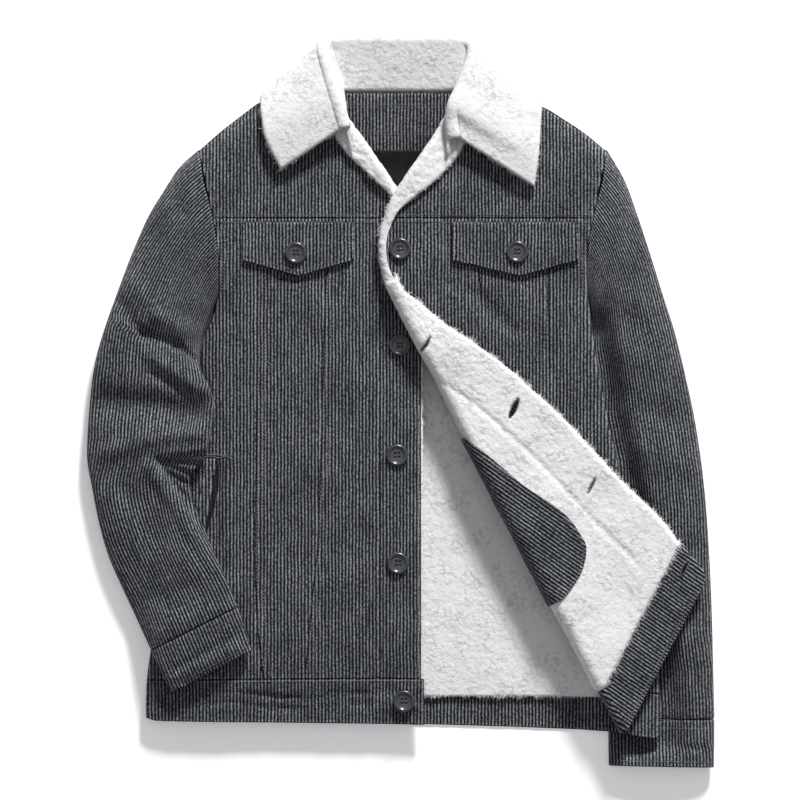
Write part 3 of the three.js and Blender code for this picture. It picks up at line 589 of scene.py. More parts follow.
def tubes(middles, thick, around, side, other):
    """Points and quads of many like tubes. Each has a ring of points round each of its middles, thick times
    (cos turn along side and sin turn along other), and quads from one ring to the next."""
    turns = 2 * np.pi * np.arange(around) / around
    rings = [
        middle + size * (side * np.cos(turn) + other * np.sin(turn))
        for middle, size in zip(middles, thick) for turn in turns
    ]
    points = np.stack(rings, 1).reshape(-1, 3)
    r, k = (index.ravel() for index in np.indices((len(thick) - 1, around)))
    low, low_next = around * r + k, around * r + (k + 1) % around
    quads = np.stack([low, low_next, low_next + around, low + around], -1)
    faces = (quads[None] + len(rings) * np.arange(len(side))[:, None, None]).reshape(-1, 4)
    return points, faces


def fringe(name, borders, length, per_mm, seed, look=SHERPA):
    """Loose fibres along borders, joined in one mesh. Each is a three-sided spike whose three rings taper
    to its tip: it starts out from the border, away from the line inside it, and bends as the square of its
    run. They stand in small clumps, because their places are pulled together by a sine."""
    rng = np.random.default_rng(seed)
    roots, out = [], []
    for edge, inner in borders:
        run = runs(edge[None], 1)[0]
        at = rng.uniform(0, run[-1], int(run[-1] * per_mm))
        at = at + 0.7 * np.sin(at * 1.9 + 2 * np.sin(at * 0.37))
        there, inside = (points_at(line, run, at) for line in (edge, inner))
        away = unit(there - inside)
        back_in = there - away * rng.uniform(0.6, 2.2, (len(at), 1))
        roots.append(back_in - rng.uniform(0, 1.6, (len(at), 1)) * (0, 0, 1))
        out.append(away)
    roots, out = np.concatenate(roots), np.concatenate(out)
    count = len(roots)
    clump = 0.8 + 0.55 * drift(roots[:, 0], roots[:, 1], 4.0, seed)[:, None]
    reach = length * clump * rng.uniform(0.5, 1.1, (count, 1))
    start = unit(out + rng.normal(0, 0.3, (count, 3)))
    bend = rng.normal(0, 0.35, (count, 3))
    side = unit(np.cross(start, rng.normal(0, 1, (count, 3))))
    middles = [roots + reach * (start * share + bend * share**2) for share in (0.0, 0.5, 1.0)]
    points, faces = tubes(middles, (0.42, 0.27, 0.06), 3, side, np.cross(start, side))
    points[:, 2] = np.maximum(points[:, 2], 0.2)
    uvs = np.repeat(roots[:, None, :2], 24, 1)
    # The fibres' pile mark of 0.75 to 1 paints them light, as the sherpa paints its high pile.
    piece = mesh_of(name, points, faces, uvs, {"pile": np.repeat(rng.uniform(0.75, 1, (count, 1)), 9, 1)})
    return dressed(piece, look)


LINING_HEM = 697
lining_x = between_steps((CENTRE_X - 240, 9), (412, 2.4), (630, 9), (CENTRE_X + 243, 9))
lining_u = (lining_x - lining_x[0]) / (lining_x[-1] - lining_x[0])
lining_y = between_steps((PANEL_TOP, 9), (330, 2.4), (LINING_HEM, 9))
lining_v = (lining_y - PANEL_TOP) / (LINING_HEM - PANEL_TOP)


def share_across(share):
    return lambda y: mix(left_side(y), right_side(y), share)


plan_x, plan_y = cut(
    share_across(0.04), share_across(0.96), level(PANEL_TOP), level(LINING_HEM), lining_v, lining_u,
)
depth = pile(plan_x, plan_y)
shown = ease(plan_x, 405, 415)
folds = 0.7 * drift(plan_x, plan_y, 60, 8) + 0.5 * drift(plan_x * 1.8, plan_y * 0.7, 30, 9)
lining_top = lifted(back, plan_x, plan_y, 4.6 + shown * (0.7 * depth + folds))
lining_back = lifted(back, plan_x, plan_y, 1.3)
lining = slab(
    "back_lining_pile", lining_back, lining_top, np.stack([plan_x, plan_y], -1), marks={"pile": depth},
)
dressed(lining, SHERPA, "back_lining", lining_back)
shown_columns = (lining_x > 410) & (lining_x < 625)
fringe("back_lining_tufts", [(lining_top[-1, shown_columns], lining_top[-4, shown_columns])], 3.4, 5, 51)

# The neck facing and its label
# Corduroy facing over the inside of the back yoke, sewn down with two rows of stitches, and a plain black
# woven label sewn on it along its edges. The label is left bare.

shell(
    "neck_facing", cut(level(339), level(461), level(92.5), level(217.9), spaced(125, 4), spaced(122, 4)),
    back, 1.3, 3.3,
)


def thread_finish(name, shade=1.0):
    """Twisted thread: pale and dark strands by fine noise."""
    f = Finish(name)
    strand = f.noise(f.place(), 1500.0, 2.0, 0.6)
    dark, pale = (
        tuple(shade * level for level in tone) for tone in ((0.05, 0.052, 0.056), (0.15, 0.156, 0.165))
    )
    tones = f.ramp(strand, (0.3, dark), (0.7, pale))
    f.set(Base_Color=tones, Roughness=0.6 + strand * 0.25, Sheen_Weight=0.2)
    return f.material


THREAD = thread_finish("charcoal_thread"), "corduroy"


def stitched(name, lines, pitch=3.4, long=2.5, thick=0.42, look=THREAD):
    """Rows of stitches, joined in one mesh. Along each line of points, every pitch has one stitch: a
    four-sided spindle of the given length, a quarter as thick at its ends."""
    start, end = [], []
    for line in lines:
        run = runs(line[None], 1)[0]
        middles = np.arange(pitch / 2, run[-1], pitch)
        start.append(points_at(line, run, middles - long / 2))
        end.append(points_at(line, run, middles + long / 2))
    start, end = np.concatenate(start), np.concatenate(end)
    along = unit(end - start)
    up = unit(np.array([0, 0, 1.0]) - along * along[:, 2:])
    middles = [mix(start, end, t) for t in (0, 0.22, 0.78, 1)]
    points, faces = tubes(middles, thick * np.array([0.25, 1, 1, 0.25]), 4, np.cross(along, up), up)
    return dressed(mesh_of(name, points, faces), look)


def row_on(height, over, *points):
    """A line on a height field, over mm above its cloth's middle, straight between (x, y) points."""
    points = np.array(points, float)
    run = np.append(0, np.cumsum(np.hypot(*np.diff(points, axis=0).T)))
    at = np.linspace(0, run[-1], int(run[-1] / 1.5) + 2)
    return lifted(height, np.interp(at, run, points[:, 0]), np.interp(at, run, points[:, 1]), over)


def row_down(height, over, edge, start, end):
    """A line on a height field that runs down beside an edge x(y)."""
    y = np.linspace(start, end, int((end - start) / 1.5) + 2)
    return lifted(height, edge(y), y, over)


def row_across(height, over, edge, start, end):
    """A line on a height field that runs across beside an edge y(x)."""
    x = np.linspace(start, end, int((end - start) / 1.5) + 2)
    return lifted(height, x, edge(x), over)


def label_finish():
    """A close satin weave: two crossed sine ribs of 0.9 mm, and slow noise that paints the shade of creasing
    as lighter and darker patches and varies the roughness.
    """
    f = Finish("black_woven_label")
    cloth = f.cloth()
    rib = [(f.part_of(cloth, axis) * (2 * np.pi / 0.9)).sine() for axis in "XY"]
    rib = rib[0] * rib[1]
    slow = f.noise(cloth, 0.12, 2.0)
    f.set(
        Base_Color=f.ramp(slow + rib * 0.08, (0.2, (0.004, 0.0043, 0.005)), (0.8, (0.012, 0.0125, 0.0135))),
        Roughness=0.55 + slow * 0.2,
        Normal=f.bump(rib, 0.5, 0.0003),
        Specular_IOR_Level=0.2,
    )
    return f.material


stitched("neck_facing_thread", [row_on(back, 3.4, (345, y), (455, y)) for y in (104, 107, 131, 134)])
shell(
    "neck_label", cut(level(362), level(436), level(149), level(204), spaced(55, 3), spaced(74, 3)),
    back, 3.7, 4.6, look=(label_finish(), "label"),
)

# The left front
# A pointed yoke, three panels, a placket for the buttons and a waistband. The panels' seams run from the
# yoke to the waistband and are turned to one side and stitched twice. A strip of sherpa lines it behind the
# placket.

loft_left = through(
    (60, 14), (110, 18), (160, 22), (220, 24), (400, 24), (560, 25), (660, 22), (700, 18), (745, 14),
)
outer_seam = through((218, 145), (285, 145), (450, 147), (600, 147), (678, 140))
inner_seam = through((222, 70), (285, 77), (380, 80), (540, 85), (600, 91), (678, 98))
left_outer, left_inner = from_centre(-1, outer_seam), from_centre(-1, inner_seam)


def within(y, top, full, bottom, end):
    """1 between full and bottom, 0 above top and below end, eased between."""
    return ease(y, top, full) * (1 - ease(y, bottom, end))


FRONT_CREASES = [
    (262, 281, 322, 281, 3, -1.2), (222, 470, 216, 545, 4, -3.0), (230, 462, 229, 560, 4, 1.3),
    (236, 580, 262, 640, 9, 1.2), (300, 560, 330, 620, 12, -1.1), (345, 470, 372, 500, 8, -0.8),
    (345, 640, 372, 560, 9, 1.0), (232, 640, 236, 676, 5, -1.0), (152, 699, 262, 706, 2.4, -0.8),
    (236, 692, 318, 701, 2.2, -0.7), (270, 711, 372, 703, 2.6, -0.9), (330, 692, 398, 697, 2.2, -0.7),
    (474, 294, 512, 330, 8, -3.2), (446, 224, 448, 284, 5, -3.0), (584, 236, 580, 330, 6, -2.0),
    (520, 290, 556, 345, 8, 1.0), (566, 300, 580, 372, 7, -1.3), (590, 160, 560, 205, 10, 1.0),
    (215, 168, 244, 206, 10, 1.0), (206, 262, 232, 320, 8, -1.2),
]


def creased(x, y, lines):
    """Soft ridges and troughs: high * exp(-(distance / wide) squared) about each straight line."""
    total = 0 * x
    for x0, y0, x1, y1, wide, high in lines:
        dx, dy = x1 - x0, y1 - y0
        t = np.clip(((x - x0) * dx + (y - y0) * dy) / (dx * dx + dy * dy), 0, 1)
        total = total + high * np.exp(-(((x - x0 - t * dx) ** 2 + (y - y0 - t * dy) ** 2) / wide**2))
    return total


def rumple(x, y):
    """The unevenness of cloth laid by hand: noise of 70 and 28 mm, the creases placed above, and along the
    waist the finer creases that two rows of stitches draw up."""
    soft = 0.9 * drift(x, y, 70, 21) + 0.45 * drift(x * 1.6, y, 28, 22) + 0.18 * drift(x, y, 9, 24)
    band = ease(y, 684, 692) * (1 - ease(y, 708, 716))
    return soft + creased(x, y, FRONT_CREASES) + band * drift(x * 0.35, y * 2.0, 9, 23)


def front_left(x, y):
    """The middle of the left front's cloth: seam height at the seams, the loft in the open, lowered where
    the right front laps over it."""
    lap = ease(x, 340, 378) * within(y, 165, 200, 335, 415)
    open_ = parted(x, y, 30, 26)
    return mix(seam_z(x, y) + 1.1, loft_left(y) + rumple(x, y), open_) - 4 * lap


def yoke_plan(rows, step):
    """A plan whose lines run straight from points (x, y) of a neck and shoulder line to (foot, YOKE_Y)."""
    rows = np.array(rows, float)
    run = np.append(0, np.cumsum(np.hypot(np.diff(rows[:, 0]), np.diff(rows[:, 1]))))
    at = spaced(run[-1], step) * run[-1]
    x, y, foot = (np.interp(at, run, rows[:, k]) for k in range(3))
    v = spaced(110, step)[:, None]
    return mix(x, foot, v), mix(y, YOKE_Y, v)


shell(
    "front_yoke_left",
    yoke_plan([
        (199, 150, 213), (223, 129, 232), (257, 103, 262), (290, 93, 292), (322, 84, 322), (335, 108, 335),
        (346, 124, 346), (357, 142, 357), (374, 168, 374), (380.35, 177, 380.35),
    ], 3.5),
    front_left, -1, 1,
)
PLACKET_SEAM = 380.5
panel_down = spaced(460, 3.5)
for node, left, right, wide in (
    ("side_panel_left", left_side, up_to(left_outer), 90),
    ("mid_panel_left", on_from(left_outer), up_to(left_inner), 65),
    ("centre_panel_left", on_from(left_inner), up_to(level(PLACKET_SEAM)), 50),
):
    plan = cut(left, right, level(PANEL_TOP), above_band, panel_down, spaced(wide, 3.5))
    shell(node, plan, front_left, -1, 1)
placket_top = through((380, 177), (390, 190), (404, 203), (421, 212))
shell(
    "placket_left",
    cut(on_from(level(PLACKET_SEAM)), level(421), placket_top, above_band, spaced(480, 3.5), spaced(40, 3)),
    front_left, -1, 1.1,
)
shell(
    "waistband_front_left", cut(left_side, level(424), below_band_top, hem, spaced(44, 2.5), spaced(270, 3)),
    front_left, -1.3, 1.3,
)

ON_CLOTH = 1.15
left_rows = [
    row_across(front_left, ON_CLOTH, level(215.3), 219, 380),
    row_across(front_left, ON_CLOTH, level(222.4), 221, 380),
    row_across(front_left, 1.45, beside(band_top, 1.9), 149, 422),
    row_down(front_left, ON_CLOTH, level(384.2), 196, 677),
    row_down(front_left, ON_CLOTH, level(417.6), 214, 677),
    row_down(front_left, ON_CLOTH, beside(left_side, 4), 158, 292),
    row_down(front_left, ON_CLOTH, beside(left_side, 8), 158, 290),
    row_on(front_left, 1.1, (258, 355), (300, 385), (326, 355)),
]
for seam in (left_outer, left_inner):
    left_rows += [row_down(front_left, ON_CLOTH, beside(seam, gap), 226, 677) for gap in (1.9, 7.5)]
stitched("front_left_thread", left_rows)
facing_u = np.append(np.linspace(0, 0.88, 12), np.linspace(0.9, 1, 8))
plan_x, plan_y = cut(level(340), level(422.5), level(212), above_band, spaced(465, 1.8), facing_u)
depth = pile(plan_x, plan_y)
edge_tooth = 1.6 * ease(plan_x, 412, 422.5) * (depth - 0.5)
facing_back, facing_top = (lifted(front_left, plan_x + edge_tooth, plan_y, off) for off in (-6.3, -2.2))
facing_left = slab(
    "front_lining_left_pile", facing_back, facing_top, np.stack([plan_x, plan_y], -1), marks={"pile": depth},
)
fringe("front_lining_left_tufts", [(facing_top[:, -1], facing_top[:, -3])], 2.4, 2, 52)
dressed(
    facing_left, SHERPA, "front_lining_left", lifted(front_left, plan_x, plan_y, -4),
)

# The right front
# The same panels as far as the fold along which the front is turned back, so each runs out on that slanting
# line. Its neck edge laps over the left front.

loft_right = through((60, 14), (110, 18), (160, 22), (220, 24), (400, 25), (560, 25.6), (745, 25.6))
edge_right = through((217, 392), (232, 388), (250, 386.5), (265, 387), (278, 391), (285, 396))
right_inner, right_outer = from_centre(1, inner_seam), from_centre(1, outer_seam)
FOLD_X, FOLD_Y, FOLD_LEAN, FOLD_RADIUS = 396, 285, np.radians(27.43), 5


def front_right(x, y):
    """The middle of the right front's cloth: seam height at the seams, the loft in the open, raised where
    it laps over the left front."""
    lap = (1 - ease(x, 425, 465)) * within(y, 110, 180, 335, 415)
    return mix(seam_z(x, y) + 1.1, loft_right(y) + rumple(x, y), parted(x, y, 30, 26)) + 5 * lap


def fold_x(y):
    return FOLD_X + (y - FOLD_Y) * np.tan(FOLD_LEAN)


def right_edge(y):
    return np.where(y < FOLD_Y, edge_right(y), fold_x(y))


def past_fold(seam):
    return lambda y: np.maximum(seam(y) + SEAM_HALF, fold_x(y))


shell(
    "front_yoke_right",
    yoke_plan([
        (394, 211, 392.5), (405, 196, 400), (423, 170, 418), (441, 143, 434), (453, 120, 449),
        (461, 104, 464), (478, 86, 482), (505, 93, 508), (541, 106, 538), (583, 133, 566),
        (606.5, 152, 593),
    ], 3.5),
    front_right, -1, 1,
)
for node, left, right, bottom, down, across in (
    ("centre_panel_right", right_edge, up_to(right_inner), level(447), spaced(229, 3), spaced(80, 3)),
    (
        "mid_panel_right", past_fold(right_inner), up_to(right_outer), level(578), spaced(360, 3.5),
        spaced(65, 3),
    ),
    ("side_panel_right", past_fold(right_outer), right_side, above_band, panel_down, spaced(70, 3.5)),
):
    shell(node, cut(left, right, level(PANEL_TOP), bottom, down, across), front_right, -1, 1)
shell(
    "waistband_front_right",
    cut(beside(fold_x, 0.3), right_side, below_band_top, hem, spaced(44, 2.5), spaced(55, 3)),
    front_right, -1.3, 1.3,
)

right_rows = [
    row_across(front_right, ON_CLOTH, level(215.3), 394, 590),
    row_across(front_right, ON_CLOTH, level(222.4), 390, 590),
    row_across(front_right, 1.45, beside(band_top, 1.9), 608, 656),
    row_down(front_right, ON_CLOTH, beside(right_side, -4), 158, 292),
    row_down(front_right, ON_CLOTH, beside(right_side, -8), 158, 290),
]
for seam in (right_inner, right_outer):
    at_fold = next(y for y in range(226, 700) if fold_x(y) > seam(y) - 9)
    right_rows += [row_down(front_right, ON_CLOTH, beside(seam, gap), 226, at_fold) for gap in (-1.9, -7.5)]
stitched("front_right_thread", right_rows)

# The turned part of the right front
# The front edge folded back over itself to show its inside: the sherpa lining, bound at the hem by the
# waistband's end, with the bag of the inside pocket in corduroy sewn on it. The corduroy face lies under
# the lining.

ALONG = np.array([np.sin(FOLD_LEAN), np.cos(FOLD_LEAN)])
ACROSS = np.array([np.cos(FOLD_LEAN), -np.sin(FOLD_LEAN)])
HALF_TURN = np.pi * FOLD_RADIUS
FOLD_EDGE = FOLD_RADIUS + 6.3
WEFT_SLANT = 0.697
TUCK = 22
LINING_STARTS, LINING_ENDS = -6, 452.8
free_edge = through(
    (-6, 16), (12, 16), (33, 23), (69, 34.5), (106, 49), (159, 69), (208, 84), (256, 98), (354, 121),
    (417, 138), (453, 144), (492, 152.5), (501, 149),
)


def turned(along, turn, off):
    """A point of the turned part. turn is the distance round from the start of the fold: below 0 it lies on
    under the front, then it goes round a half circle, and past that it lies back over the front."""
    along, turn, off = np.broadcast_arrays(*(np.asarray(value, float) for value in (along, turn, off)))
    axis_x, axis_y = FOLD_X + ALONG[0] * along, FOLD_Y + ALONG[1] * along
    low = front_right(axis_x, axis_y)

    def at(distance):
        return axis_x + ACROSS[0] * distance, axis_y + ACROSS[1] * distance

    tucked = lifted(front_right, *at(np.maximum(-turn, 0)), -off + 1.8 * turn / TUCK)
    angle = np.clip(turn / FOLD_RADIUS, 0, np.pi)
    bend_x, bend_y = at(-(FOLD_RADIUS + off) * np.sin(angle))
    bend = np.stack([bend_x, -bend_y, low + FOLD_RADIUS - (FOLD_RADIUS + off) * np.cos(angle)], -1)
    out = turn - HALF_TURN
    rest = mix(36, 31.5, ease(along, 120, 300))
    high = mix(low + 2 * FOLD_RADIUS, rest, ease(out, 0, 70))
    over_x, over_y = at(out)
    over = np.stack([over_x, -over_y, high + off], -1)
    return np.where((turn < 0)[..., None], tucked, np.where((turn < HALF_TURN)[..., None], bend, over))


def unfolded(along, turn):
    """Where a point of the turned part lay on the flat cloth: its wales run as on the rest of the front."""
    x = FOLD_X + ALONG[0] * along - ACROSS[0] * turn
    return np.stack([x, FOLD_Y + ALONG[1] * along - ACROSS[1] * turn], -1)


def turned_plan(rows, turns_under, reach_less, across):
    """Rows follow the weft, which slants back from the fold by WEFT_SLANT times the distance out. Each row
    runs from its start round the fold to the free edge."""
    row = rows[:, None]
    reach = free_edge(row) - FOLD_EDGE - reach_less
    turn = np.concatenate([turns_under + 0 * row, HALF_TURN + across[None, :] * reach], 1)
    return row - WEFT_SLANT * np.maximum(turn - HALF_TURN, 0), turn


bend_turns = np.linspace(0.3, HALF_TURN, 9)[None, :]
along, turn = turned_plan(
    between_steps((LINING_STARTS, 4), (LINING_ENDS, 4)), bend_turns, 2, np.linspace(0, 1, 34)[1:],
)
grid = turned(along, turn, 0)
piece = slab(
    "front_turned_cloth", turned(along, turn, -1), turned(along, turn, 1), unfolded(along, turn),
    marks={"edge": from_edges(grid)},
)
dressed(piece, CORDUROY, "front_turned", grid)

BUTTONHOLES = [
    (430, 337, 424, 350, 0.6), (518, 399, 509, 418, 2.3), (595, 478, 587, 493, 0.35),
    (688, 560, 680, 575, 1.5),
]


def at_slit(slit, share, beside_it):
    """Along and turn of a point of a buttonhole: share runs from -1 to 1 between its ends, and beside_it is
    mm to its side."""
    x0, y0, x1, y1, wide = slit
    length = np.hypot(x1 - x0, y1 - y0)
    x = (x0 + x1) / 2 + share * (x1 - x0) / 2 + beside_it * (y1 - y0) / length - FOLD_X
    y = (y0 + y1) / 2 + share * (y1 - y0) / 2 - beside_it * (x1 - x0) / length - FOLD_Y
    return x * ALONG[0] + y * ALONG[1], x * ACROSS[0] + y * ACROSS[1] + HALF_TURN


def in_slit(along, turn, slit):
    """1 in a buttonhole's lens, whose half width is wide (1 - share squared), eased to 0 within 2.2 mm past
    it at the middle and 1 mm at its ends."""
    x0, y0, x1, y1, wide = slit
    out = turn - HALF_TURN
    x = FOLD_X + ALONG[0] * along + ACROSS[0] * out - (x0 + x1) / 2
    y = FOLD_Y + ALONG[1] * along + ACROSS[1] * out - (y0 + y1) / 2
    length = np.hypot(x1 - x0, y1 - y0)
    share = 2 * (x * (x1 - x0) + y * (y1 - y0)) / length**2
    aside = np.abs(x * (y1 - y0) - y * (x1 - x0)) / length
    past_lens = aside - wide * np.maximum(1 - share**2, 0)
    soft = 2.2 - 1.2 * np.minimum(np.abs(share), 1)
    return (1 - ease(np.abs(share), 1, 1.2)) * (1 - ease(past_lens, 0, soft))


lining_turns = np.append(np.linspace(-TUCK, 0, 10)[:-1], np.linspace(0, HALF_TURN, 11))[None, :]
along, turn = turned_plan(
    between_steps((LINING_STARTS, 1.9), (LINING_ENDS, 1.9)), lining_turns, 0, np.linspace(0, 1, 66)[1:],
)
place = unfolded(along, turn)
depth = pile(place[..., 0], place[..., 1])
edge = from_edges(turned(along, turn, 0))
out = turn - HALF_TURN
row = along + WEFT_SLANT * np.maximum(out, 0)
from_free_edge = free_edge(row) - FOLD_EDGE - out
seam = np.exp(-(((from_free_edge - 41) / 2.6) ** 2)) * within(row, 60, 130, 400, 440)
hills = drift(place[..., 0], place[..., 1], 34, 36)
holes = np.max([in_slit(along, turn, slit) for slit in BUTTONHOLES[:3]], 0)
plush = 5.6 + 0.7 * (depth - 0.5) - 2.6 * (1 - rise(edge, 5)) - seam + 0.9 * hills - 3.2 * holes
ragged = 0.9 * (depth - 0.5) * (1 - ease(edge, 0, 3))
lining_top = turned(along, turn + ragged, plush)
turned_lining = slab(
    "lining_turned_pile", turned(along, turn + ragged, 1.3), lining_top, place, marks={"pile": depth},
)
dressed(
    turned_lining, SHERPA, "lining_turned", turned(along, turn, 3.8),
)

fringe(
    "lining_turned_tufts",
    [
        (lining_top[:, -1], lining_top[:, -4]), (lining_top[0, 8:], lining_top[3, 8:]),
        (lining_top[-1, 20:] + (0, 0, 1.5), lining_top[-4, 20:]),
    ],
    3.9, 5.5, 53,
)

BAND_STARTS, BAND_LONG = 453.15, 47.85
along, turn = turned_plan(
    BAND_STARTS + BAND_LONG * spaced(BAND_LONG, 2.5), bend_turns, 0, spaced(130, 2.5)[1:],
)
edge = from_edges(turned(along, turn, 0))
band_over = 3.2 - 0.8 * (1 - rise(edge, 1.5)) + 0.4 * drift(along, turn, 7, 31) * rise(edge, 4)
piece = slab(
    "waistband_turned_cloth", turned(along, turn, -1), turned(along, turn, band_over), unfolded(along, turn),
    marks={"edge": edge + 1.2},
)
dressed(
    piece, CORDUROY, "waistband_turned", turned(along, turn, 1),
)

bag_wide = through(
    (166, 0.6), (174, 5), (186, 11), (200, 17), (236, 32), (280, 55), (308, 60), (321, 58.6), (339, 44),
    (350, 25), (355, 12),
)
BAG_STARTS, BAG_LONG = 166, 189
bag_along = (BAG_STARTS + BAG_LONG * spaced(BAG_LONG, 2))[:, None]


def bag_end(along):
    """Where the bag's edge lies round the turn: an arcsine on the bend, as its width is seen from above."""
    wide = bag_wide(along)
    bend = FOLD_RADIUS * (np.pi - np.arcsin(np.clip(1 - wide / FOLD_EDGE, 0, 1)))
    return bend + np.maximum(wide - FOLD_EDGE, 0)


bag_across = np.append(np.linspace(0, 0.3, 14)[:-1], 0.3 + 0.7 * spaced(45, 2)[3:])[None, :]
turn = mix(HALF_TURN * 0.35, bag_end(bag_along), bag_across)
along = bag_along + 0 * turn
bag_grid = turned(along, turn, 7.8)
edge = from_edges(bag_grid)
bag_hills = 0.5 * drift(along, turn, 22, 37) + 0.3 * drift(along, turn, 7, 38)
bag_over = 8.6 + bag_hills - 0.9 * (1 - rise(edge, 2))
piece = slab(
    "pocket_bag_cloth", turned(along, turn, 6.9), turned(along, turn, bag_over),
    unfolded(along, runs(bag_grid, 1)), marks={"edge": edge},
)
dressed(piece, CORDUROY, "pocket_bag", bag_grid)
stitch_along = np.linspace(190, 350, 90)
band_out = np.linspace(4, 126, 70)
stitched("turned_thread", [
    turned(stitch_along, bag_end(stitch_along) - 4, 8.9),
    *(turned(row - WEFT_SLANT * band_out, HALF_TURN + band_out, 3.5) for row in (455.5, 496)),
])

slit_along = np.linspace(-0.99, 0.99, 25)
slit_share, slit_side = slit_along[:, None], np.linspace(-1, 1, 7)[None, :]
# A near black copy of the corduroy: painted shade, set as sheets in the buttonholes and the pocket mouth.
PAINTED_SHADE_CORDUROY = corduroy_finish("painted_shade_corduroy", 0.1), "corduroy"
for number, slit in enumerate(BUTTONHOLES, 1):
    lens = at_slit(slit, slit_share + 0 * slit_side, slit_side * slit[4] * (1 - slit_share**2))
    high = 3.7 if number == 4 else 4.9
    piece = slab(
        f"buttonhole_{number}_slit", turned(*lens, high - 0.8), turned(*lens, high), unfolded(*lens),
        marks={"edge": 9 + 0 * lens[0]},
    )
    dressed(piece, PAINTED_SHADE_CORDUROY)
    rim_side = slit[4] * (1 - slit_along**2) + 0.7
    rim = [turned(*at_slit(slit, slit_along, side * rim_side), high + 0.35) for side in (-1, 1)]
    stitched(f"buttonhole_{number}_thread", rim, pitch=1.3, long=1.2, thick=0.4)

# The lapels
# Sherpa of the front facings, rolled out over both neck edges, so the pile shows as a soft rope that
# narrows down to the first button.

ROLL_RADIUS, ROLL_HALF, ROLL_UNDER = 4.4, 2.3, 18


def rolled_edge(node, rows, height, side, furred_from):
    """Sections along a path: from under the front up a half circle round its edge and back over it. A
    point's depth of pile moves it out square to the surface. Its round edge is furred from furred_from
    down, and its other edge above there."""
    rows = np.array(rows, float)
    count = np.arange(len(rows))
    length = np.hypot(np.diff(rows[:, 0]), np.diff(rows[:, 1])).sum()
    at = np.linspace(0, len(rows) - 1, int(length / 1.6))
    x, y, wide = (through(*zip(count, rows[:, k]))(at) for k in range(3))
    tangent = np.stack([np.gradient(x), np.gradient(y)], -1)
    tangent /= np.linalg.norm(tangent, axis=-1, keepdims=True)
    inwards = np.stack([-tangent[:, 1], tangent[:, 0]], -1) * side
    middle = np.stack([x, y], -1) + inwards * (ROLL_RADIUS + ROLL_HALF)
    height_there = height(middle[:, 0], middle[:, 1])[:, None]

    def surface(off):
        radius = ROLL_RADIUS + off

        def move(distance):
            return [middle[:, k, None] + inwards[:, k, None] * distance for k in (0, 1)]

        under = lifted(height, *move(np.linspace(1, 0, 8)[:-1] * ROLL_UNDER + 0 * x[:, None]), -radius)
        angle = np.linspace(0, np.pi, 12)[None, :]
        bend_x, bend_y = move(-radius * np.sin(angle))
        bend = np.stack([bend_x, -bend_y, height_there - radius * np.cos(angle)], -1)
        reach = (wide - ROLL_RADIUS - ROLL_HALF)[:, None]
        over = lifted(height, *move(np.linspace(0, 1, 12)[1:] * reach), radius)
        return np.concatenate([under, bend, over], 1)

    flat = surface(0.0)
    down, across = runs(flat, 0), runs(flat, 1)
    depth = pile(down + 400, across)
    edge = from_edges(flat)
    sign = facing_up(flat[:, -10:])
    high = offset(surface(ROLL_HALF), sign * (1.3 * (depth - 0.55) - 1.4 * (1 - rise(edge, 3.5))))
    weave = np.stack([down, across], -1)
    piece = slab(node + "_pile", surface(-ROLL_HALF), high, weave, marks={"pile": depth})
    dressed(piece, COLLAR_SHERPA_PAINTED_SHADE, node, flat)
    furred = y > furred_from
    round_edge = high[furred, 12]
    borders = [(high[~furred, -1], high[~furred, -4])]
    if furred.any():
        borders.append((round_edge, mix(round_edge, high[furred, -1], 0.4)))
    fringe(node + "_tufts", borders, 2.6, 6, 54, COLLAR_SHERPA_PAINTED_SHADE)


rolled_edge(
    "lapel_left",
    [
        (346, 112, 18), (354, 125, 22), (362, 136, 23), (371, 149, 21), (381, 163, 17), (395, 184, 11),
        (402, 195, 9),
    ],
    front_left, 1, 800,
)
rolled_edge(
    "lapel_right",
    [
        (447, 110, 24), (439, 125, 30), (431, 139, 31), (414, 163, 28), (398, 187, 20), (387, 208, 12),
        (379, 236, 8.5), (379, 260, 8), (383, 278, 9.5), (388, 292, 12),
    ],
    front_right, -1, 196,
)

# The collar
# A sherpa collar sewn to the neck: its stand goes up from the neck seam to a roll, and its leaf lies back
# down from there over the shoulders, with two pointed ends in front.

COLLAR = np.array([
    (354, 148, 35, 347, 128, 38, 281, 170, 33), (347, 124, 33, 338, 98, 36, 266, 140, 32),
    (345, 108, 26, 331, 74, 31, 262, 118, 27), (343, 95, 17, 325, 52, 25, 261, 106, 19),
    (343, 91, 13.6, 325, 41, 17, 262, 95, 10), (348, 90.5, 10.5, 333, 37, 9.5, 280, 105, 3.8),
    (366, 90.5, 9.5, 360, 36, 9.2, 330, 122, 3.8), (398, 90.5, 9.5, 397, 36, 9.2, 398, 128, 3.8),
    (430, 90.5, 9.5, 434, 36, 9.2, 466, 122, 3.8), (449, 90.5, 10.5, 461, 37, 9.5, 516, 104, 3.8),
    (456, 90.5, 13.6, 472, 43, 17, 540, 93, 9), (458, 96, 17, 470, 58, 25, 541, 112, 22),
    (456, 110, 26, 459, 85, 31, 540, 132, 27), (452, 132, 33, 449, 109, 36, 538, 158, 32),
    (448, 154, 35, 453, 139, 38, 534, 187, 33),
], float)

